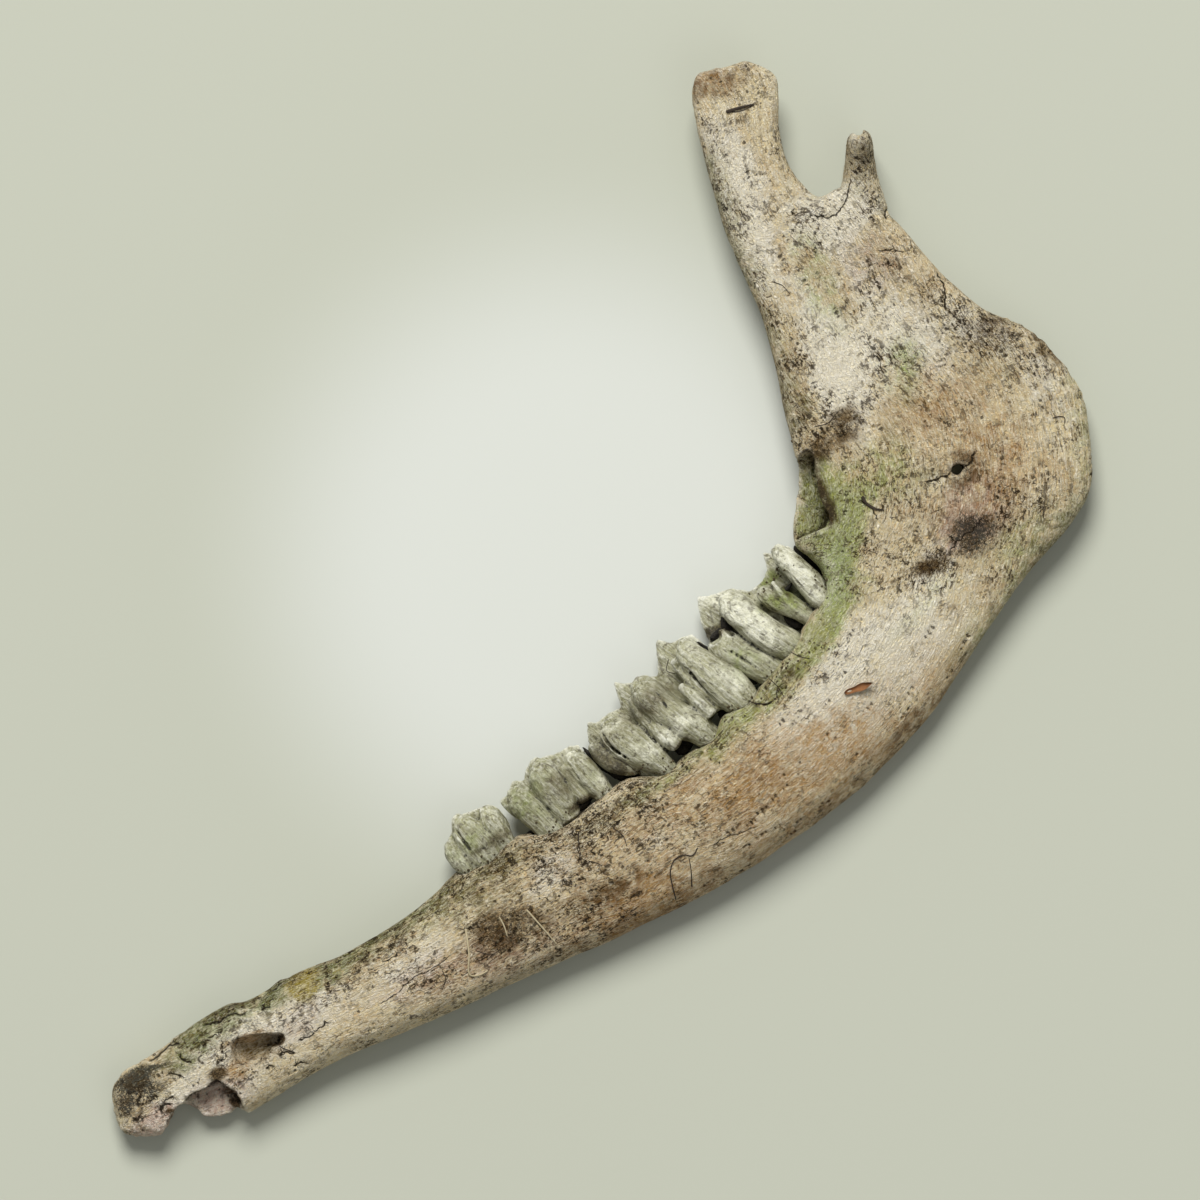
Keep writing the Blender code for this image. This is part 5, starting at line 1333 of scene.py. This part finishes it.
def loose_matter(name, dark, light, size_mm, roughness):
    """A dry plant part or soil: two tones in uneven bands of that size, with a slight bump."""
    material, tree = new_material(name)
    spot = add(tree, "ShaderNodeTexCoord").outputs["Object"]
    bands = add(tree, "ShaderNodeTexNoise", {
        "Vector": spot, "Scale": 1 / MM / size_mm, "Detail": 3.0}).outputs["Fac"]
    colour = add(tree, "ShaderNodeMix", {0: bands, 6: linear(dark), 7: linear(light)},
                 data_type="RGBA")
    bump = add(tree, "ShaderNodeBump", {"Height": bands, "Strength": 0.5, "Distance": 0.1 * MM})
    shader = add(tree, "ShaderNodeBsdfPrincipled", {
        "Base Color": colour, "Normal": bump, "Roughness": roughness})
    add(tree, "ShaderNodeOutputMaterial", {"Surface": shader})
    return material


class Ground:
    """Height of the bone and teeth under a point x, y, found by a ray from above."""

    def __init__(self, pieces):
        points, faces, base = [], [], 0
        for piece in pieces:
            mesh = piece.data
            mesh.calc_loop_triangles()
            corners = values_of(mesh.loop_triangles, "vertices", 3, np.int32)
            own = values_of(mesh.vertices, "co", 3)
            points.append(own)
            faces.append(corners + base)
            base += len(own)
        self.tree = BVHTree.FromPolygons(
            np.vstack(points).tolist(), np.vstack(faces).tolist(), all_triangles=True)

    def height(self, x, y):
        """Height in millimetres, or 0 where the ray meets nothing."""
        start = Vector(place((x, y, ABOVE_ALL)))
        hit = self.tree.ray_cast(start, Vector((0, 0, -1)))[0]
        return hit.z / MM if hit else 0.0

    def on(self, flat, lift):
        """The points x, y with their heights, that much above the surface."""
        return np.array([(x, y, self.height(x, y) + lift) for x, y in flat])


def strand_rings(path, wide, narrow, around=7):
    """Rings of a thin stem along a path: each point is the path's point plus the half width there
    times the cosine of the turn sideways and its sine upward. It tapers from wide to narrow, with
    both ends pinched."""
    ahead = np.gradient(path, axis=0)
    ahead /= np.maximum(np.linalg.norm(ahead, axis=1), 1e-9)[:, None]
    side = np.cross(ahead, (0, 0, 1))
    side /= np.maximum(np.linalg.norm(side, axis=1), 1e-9)[:, None]
    up = np.cross(side, ahead)
    turn = np.linspace(0, 2 * math.pi, around, endpoint=False)
    size = np.linspace(wide, narrow, len(path))
    size[0] *= 0.4
    size[-1] *= 0.3
    round_it = np.cos(turn)[None, :, None] * side[:, None] + np.sin(turn)[None, :, None] * up[:, None]
    return path[:, None] + size[:, None, None] * round_it


# Stems and rootlets that lie on the bone: half width at start and end, then points x, y.
PALE_STEMS = (
    (0.22, 0.14, ((77, 24), (74.8, 20), (72.5, 16), (74, 15.2), (75.6, 15))),
    (0.2, 0.12, ((88.5, 20), (88.9, 15.5), (89.2, 11))),
    (0.16, 0.1, ((83.5, 22), (83.2, 20), (82.5, 18))),
    (0.14, 0.1, ((224.2, 66), (224.6, 68.4), (224.2, 70))),
)
DARK_ROOTLETS = (
    (0.38, 0.16, ((210.4, 119.9), (212.4, 119.2), (214.2, 118.5), (215.6, 117.9))),
    (0.34, 0.16, ((187.4, 45.2), (187.2, 43.6), (187.8, 42), (189.2, 40.6))),
    (0.2, 0.12, ((187, 44.4), (187.7, 42.6), (188.4, 41.2))),
    (0.14, 0.1,
     ((112.6, 4.3), (113.2, 5.8), (113.8, 7.2), (115, 9.4), (117, 10.7), (119, 10.4), (120.2, 9.3),
      (122, 10))),
    (0.13, 0.08, ((116.5, 4.5), (118.2, 7), (119.5, 9.5))),
    (0.1, 0.07, ((103.5, 24), (102.8, 22), (102, 20))),
    (0.12, 0.08, ((105.4, 26), (104.4, 24.6), (103, 22))),
    (0.1, 0.07, ((103.6, 20.4), (104.6, 19.2), (105.2, 18))),
    (0.1, 0.07, ((111.2, 22.6), (111.8, 20.4), (111.2, 18.2))),
    (0.09, 0.06, ((68.6, 20.2), (68.2, 18.6), (66.2, 17.2))),
    (0.08, 0.06, ((76, 19.5), (77.8, 17.2), (81, 16.6))),
    (0.12, 0.08, ((225.8, 35.4), (226.8, 35), (227.6, 34.2), (227, 33.2))),
    (0.12, 0.08, ((146.6, 26.6), (147.4, 25.4), (148.8, 24.4), (150.2, 24))),
    (0.1, 0.07, ((158.6, 29.4), (159.4, 27.8), (160.8, 26.2))),
    (0.1, 0.07, ((152.2, 28), (152.6, 25.6), (152.4, 23.2))),
    (0.1, 0.07, ((152.4, 25.4), (151.6, 24.6), (151.2, 23.4))),
    (0.09, 0.06, ((133.6, 25.4), (136, 24.6), (139.4, 25.2))),
    (0.1, 0.07, ((34.4, 28.2), (35.2, 26.4), (36.4, 24.6))),
    (0.09, 0.06, ((210.4, 119.8), (212.6, 118.4), (215.6, 117.8))),
    (0.09, 0.06, ((188, 61.4), (190.4, 60.4), (193.4, 61))),
    (0.09, 0.06, ((198, 88.6), (199.2, 86.8), (199.4, 84.4))),
    (0.08, 0.06, ((139, 42.2), (137.4, 40.6), (138.4, 39.2))),
    (0.08, 0.06, ((119.2, 33.6), (120.6, 31), (121.2, 28.4))),
)
# Leaf bits: x, y, length, width, turn in degrees, curl.
LEAF_BITS = ((164.8, 16.2, 5.6, 1.3, -16, 0.5),)


def stems(name, rows, ground):
    """Thin stems that follow the surface, each as a tube along a smooth line through its points,
    evened out twice so that it doesn't drop into every pit."""
    lofts = []
    for wide, narrow, corners in rows:
        level = np.column_stack([np.array(corners), np.zeros(len(corners))])
        flat = by_length(level, 9 * len(corners))
        path = ground.on(flat[:, :2], wide * 0.6)
        for _ in range(2):
            path[1:-1] = (path[:-2] + 2 * path[1:-1] + path[2:]) / 4
        lofts.append(strand_rings(path, wide, narrow))
    return mesh_piece(name, lofts)


def leaf_bits(ground):
    """Curled bits of leaf: a sheet that narrows along its length as a blunt ellipse, waves along it
    as a sine and bends up at both edges as a parabola, closed by a second face a little higher."""
    thick = 0.22
    u = np.linspace(-1, 1, 18)
    v = np.linspace(-1, 1, 9)
    lofts = []
    for x, y, length, width, degrees, curl in LEAF_BITS:
        along = u[:, None] * length / 2 + 0 * v
        wide = np.sqrt(np.maximum(1 - np.abs(u) ** 2.4, 0.02)) * width / 2
        across = wide[:, None] * v * (1 + 0.15 * np.sin(5 * u))[:, None]
        rise = curl * (v**2)[None, :] + 0.4 * curl * (u**2)[:, None] + 0.1 * np.sin(7 * u + 2)[:, None]
        turn = math.radians(degrees)
        px = x + along * math.cos(turn) - across * math.sin(turn)
        py = y + along * math.sin(turn) + across * math.cos(turn)
        base = ground.height(x, y) + 0.1
        low = np.stack([px, py, base + rise], axis=-1)
        high = low + (0, 0, thick)
        lofts.append(np.concatenate([low, high[:, ::-1]], axis=1))
    return mesh_piece("leaf_bits", lofts)


# Near-black fill in the gaps between and behind the teeth, painted shade shaped as packed soil:
# x, y, height of its top, half length, half width, turn in degrees.
GAP_SHADE_FILL_FORMS = (
    (149.2, 40.3, 8.7, 1.5, 1, 12), (151.7, 40.6, 9.2, 2.1, 0.9, 80), (147.6, 35, 9.2, 6.4, 0.65, 108),
    (172, 41, 7.6, 4.6, 1.1, 95), (171, 36.6, 8.2, 2.4, 0.8, 70), (162.7, 33.4, 9.6, 2.2, 1.1, 120),
    (109.4, 29.9, 8.6, 2.4, 1.1, 0), (118.4, 30.2, 8.8, 2.2, 1.4, 120), (131.4, 27.2, 9.4, 2.2, 1.5, 0),
    (141.4, 27.4, 9.4, 1.4, 1.2, 0), (116.2, 34.6, 8, 3.6, 0.6, 100), (165.4, 39.4, 10, 1.3, 0.5, 20),
    (97.2, 30.6, 7.4, 2, 0.9, 20), (149.4, 29.6, 9.8, 1.5, 0.8, 120),
)


def gap_shade_fill():
    """Cushions of near-black fill, painted shade shaped as soil: an oval whose height falls as the
    square root of one less the square of the distance from its middle, with random lumps, closed
    below by the same form turned over."""
    dice = np.random.default_rng(3)
    steps, spokes, deep = 17, 28, 2.4
    tilt = np.linspace(0.04, math.pi - 0.04, steps)[:, None]
    around = np.linspace(0, 2 * math.pi, spokes, endpoint=False)
    lofts = []
    for x, y, top, long, wide, degrees in GAP_SHADE_FILL_FORMS:
        reach = np.sin(tilt) * (1 + 0.10 * np.sin(3 * around + dice.uniform(0, 6)))
        lumps = 1 + dice.normal(0, 0.05, (steps, spokes))
        along = long * reach * np.cos(around) * lumps
        across = wide * reach * np.sin(around) * lumps
        turn = math.radians(degrees)
        z = top - deep + deep * np.cos(tilt) * lumps
        lofts.append(np.stack([
            x + along * math.cos(turn) - across * math.sin(turn),
            y + along * math.sin(turn) + across * math.cos(turn), z], axis=-1))
    return mesh_piece("gap_shade_fill", lofts)


# Where crumbs of soil and moss gather: x, y, spread along x, spread along y, how many.
CRUMBS = (
    (88, 31.8, 5, 1, 60), (104, 28.6, 5, 1, 60), (119, 28.4, 3, 0.8, 36), (131, 26.2, 3, 0.8, 30),
    (141, 27, 2, 0.8, 24), (155, 27.6, 4, 1, 40), (190, 60.2, 4, 2.2, 60), (171.8, 39.6, 1, 3, 26),
    (84, 19, 5, 3, 40), (164, 42.6, 2.4, 0.8, 20), (32, 27.6, 3, 1.2, 18), (108, 24, 14, 3, 60),
)


def soil_crumbs(ground):
    """Crumbs of soil: one ball of a few faces, with points at the sine of the polar angle times the
    cosine and sine of the turn, copied to random places on the surface, lumpy and of random sizes."""
    dice = np.random.default_rng(8)
    rings, around = 5, 6
    polar = np.linspace(0.12, math.pi - 0.12, rings)
    turn = np.linspace(0, 2 * math.pi, around, endpoint=False)
    ball = np.stack([
        np.outer(np.sin(polar), np.cos(turn)), np.outer(np.sin(polar), np.sin(turn)),
        np.outer(np.cos(polar), np.ones(around))], axis=-1)
    lofts = []
    for x, y, spread_x, spread_y, count in CRUMBS:
        flat = dice.normal((x, y), (spread_x, spread_y), (count, 2))
        for spot in ground.on(flat, 0.0):
            if spot[2] < LOWEST_CRUMB:
                continue
            size = dice.uniform(0.10, 0.28) * dice.uniform(0.6, 1.4, 3)
            lumpy = ball * (1 + dice.normal(0, 0.14, ball.shape[:2] + (1,)))
            lofts.append(lumpy * size + spot)
    return mesh_piece("soil_crumbs", lofts)


def floor():
    """Plain pale square with a painted pool of light: a little lighter round the middle of the picture.
    """
    mesh = bpy.data.meshes.new("floor")
    corners = [(x * FLOOR_SIDE, y * FLOOR_SIDE, 0) for x, y in ((-1, -1), (1, -1), (1, 1), (-1, 1))]
    mesh.from_pydata(corners, [], [(0, 1, 2, 3)])
    made = bpy.data.objects.new("floor", mesh)
    bpy.context.scene.collection.objects.link(made)
    made.location.z = -0.05 * MM
    # Matt paper without a sheen; its colour is paler round the middle, a painted pool of light.
    material, tree = new_material("pale_paper")
    spot = add(tree, "ShaderNodeTexCoord").outputs["Object"]
    pale = (FLOOR_LIGHT[0] - MIDDLE[0]) * MM, (FLOOR_LIGHT[1] - MIDDLE[1]) * MM, 0.0
    away = add(tree, "ShaderNodeVectorMath", {0: spot, 1: pale}, operation="DISTANCE").outputs["Value"]
    share = add(tree, "ShaderNodeMapRange", {
        "Value": away, "From Min": FLOOR_FADE[0] * MM, "From Max": FLOOR_FADE[1] * MM},
        interpolation_type="SMOOTHERSTEP")
    colour = add(tree, "ShaderNodeMix", {
        0: share.outputs["Result"], 6: linear(FLOOR_PALE), 7: linear(FLOOR_EDGE)}, data_type="RGBA")
    shader = add(tree, "ShaderNodeBsdfPrincipled", {
        "Base Color": colour, "Roughness": 0.9, "Specular IOR Level": 0.1})
    add(tree, "ShaderNodeOutputMaterial", {"Surface": shader})
    dress(made, material)


def camera():
    """Looks straight down with a long lens, turned so that the chin is at the lower left."""
    data = bpy.data.cameras.new("camera")
    data.sensor_width = 36.0
    data.lens = data.sensor_width * CAMERA_AWAY / PICTURE_WIDTH
    data.clip_start, data.clip_end = 0.05, 20.0
    made = bpy.data.objects.new("camera", data)
    made.location = place((*PICTURE_MIDDLE, PICTURE_HEIGHT + CAMERA_AWAY))
    made.rotation_euler = (0, 0, -math.radians(PICTURE_TURN))
    bpy.context.scene.collection.objects.link(made)
    bpy.context.scene.camera = made


def area_light(name, right, up, height, size, power, colour):
    """Soft light placed by the picture's right and up, in metres, aimed at the middle."""
    turn = math.radians(PICTURE_TURN)
    data = bpy.data.lights.new(name, "AREA")
    data.shape = "DISK"
    data.size = size
    data.energy = power
    data.color = linear(colour)[:3]
    made = bpy.data.objects.new(name, data)
    aim = Vector(place((*PICTURE_MIDDLE, 0.0)))
    offset = Vector((
        right * math.cos(turn) + up * math.sin(turn),
        up * math.cos(turn) - right * math.sin(turn), height))
    made.location = aim + offset
    made.rotation_euler = offset.to_track_quat("Z", "Y").to_euler()
    bpy.context.scene.collection.objects.link(made)


def lights():
    """A large soft light from the picture's upper left, a weak one opposite, and a pale room."""
    area_light("window", -0.40, 2.50, 3.08, 2.0, 190.0, "FFFFFF")
    area_light("fill", 1.6, -2.0, 3.2, 3.0, 14.0, "FAFCFF")
    world = bpy.data.worlds.new("room")
    world.use_nodes = True
    background = world.node_tree.nodes["Background"]
    background.inputs["Color"].default_value = linear("F6F8FA")
    background.inputs["Strength"].default_value = 0.30
    bpy.context.scene.world = world
    bpy.context.scene.view_settings.view_transform = "Standard"


def main():
    """Builds the scene: camera, floor and lights, then bone, teeth and what lies on them."""
    camera()
    floor()
    lights()
    bone = bone_piece()
    dress(bone, weathered_bone())
    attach(bone, "root")
    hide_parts("jawbone")
    enamel = old_enamel()
    shown = [bone]
    for number, name in enumerate(COLUMNS, 1):
        tooth = tooth_piece(name, number)
        dress(tooth, enamel)
        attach(tooth, "root")
        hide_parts(name)
        shown.append(tooth)
    ground = Ground(shown)
    # Dry grass is pale straw with a slight sheen; rootlets are nearly black; a dead leaf is a warm
    # brown; dry soil is crumbly and dull; the near-black fill in the gaps is painted shade.
    straw = loose_matter("dry_grass_stem", "9A8B68", "C9BC9A", 0.8, 0.7)
    root = loose_matter("dark_rootlet", "1C150C", "3A2C1A", 0.6, 0.75)
    leaf = loose_matter("dead_leaf", "4A2C14", "9E6A3C", 1.6, 0.85)
    soil = loose_matter("dry_soil", "2A2116", "5E5234", 0.5, 0.95)
    gap_dark = loose_matter("painted_gap_shade", "0C0A06", "241D11", 0.7, 0.95)
    loose = (
        (stems("grass_stems", PALE_STEMS, ground), straw),
        (stems("rootlets", DARK_ROOTLETS, ground), root),
        (leaf_bits(ground), leaf),
        (soil_crumbs(ground), soil),
        (gap_shade_fill(), gap_dark),
    )
    for piece, material in loose:
        dress(piece, material)
        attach(piece, "root")
    for piece in shown:
        piece.data.shade_smooth()


main()
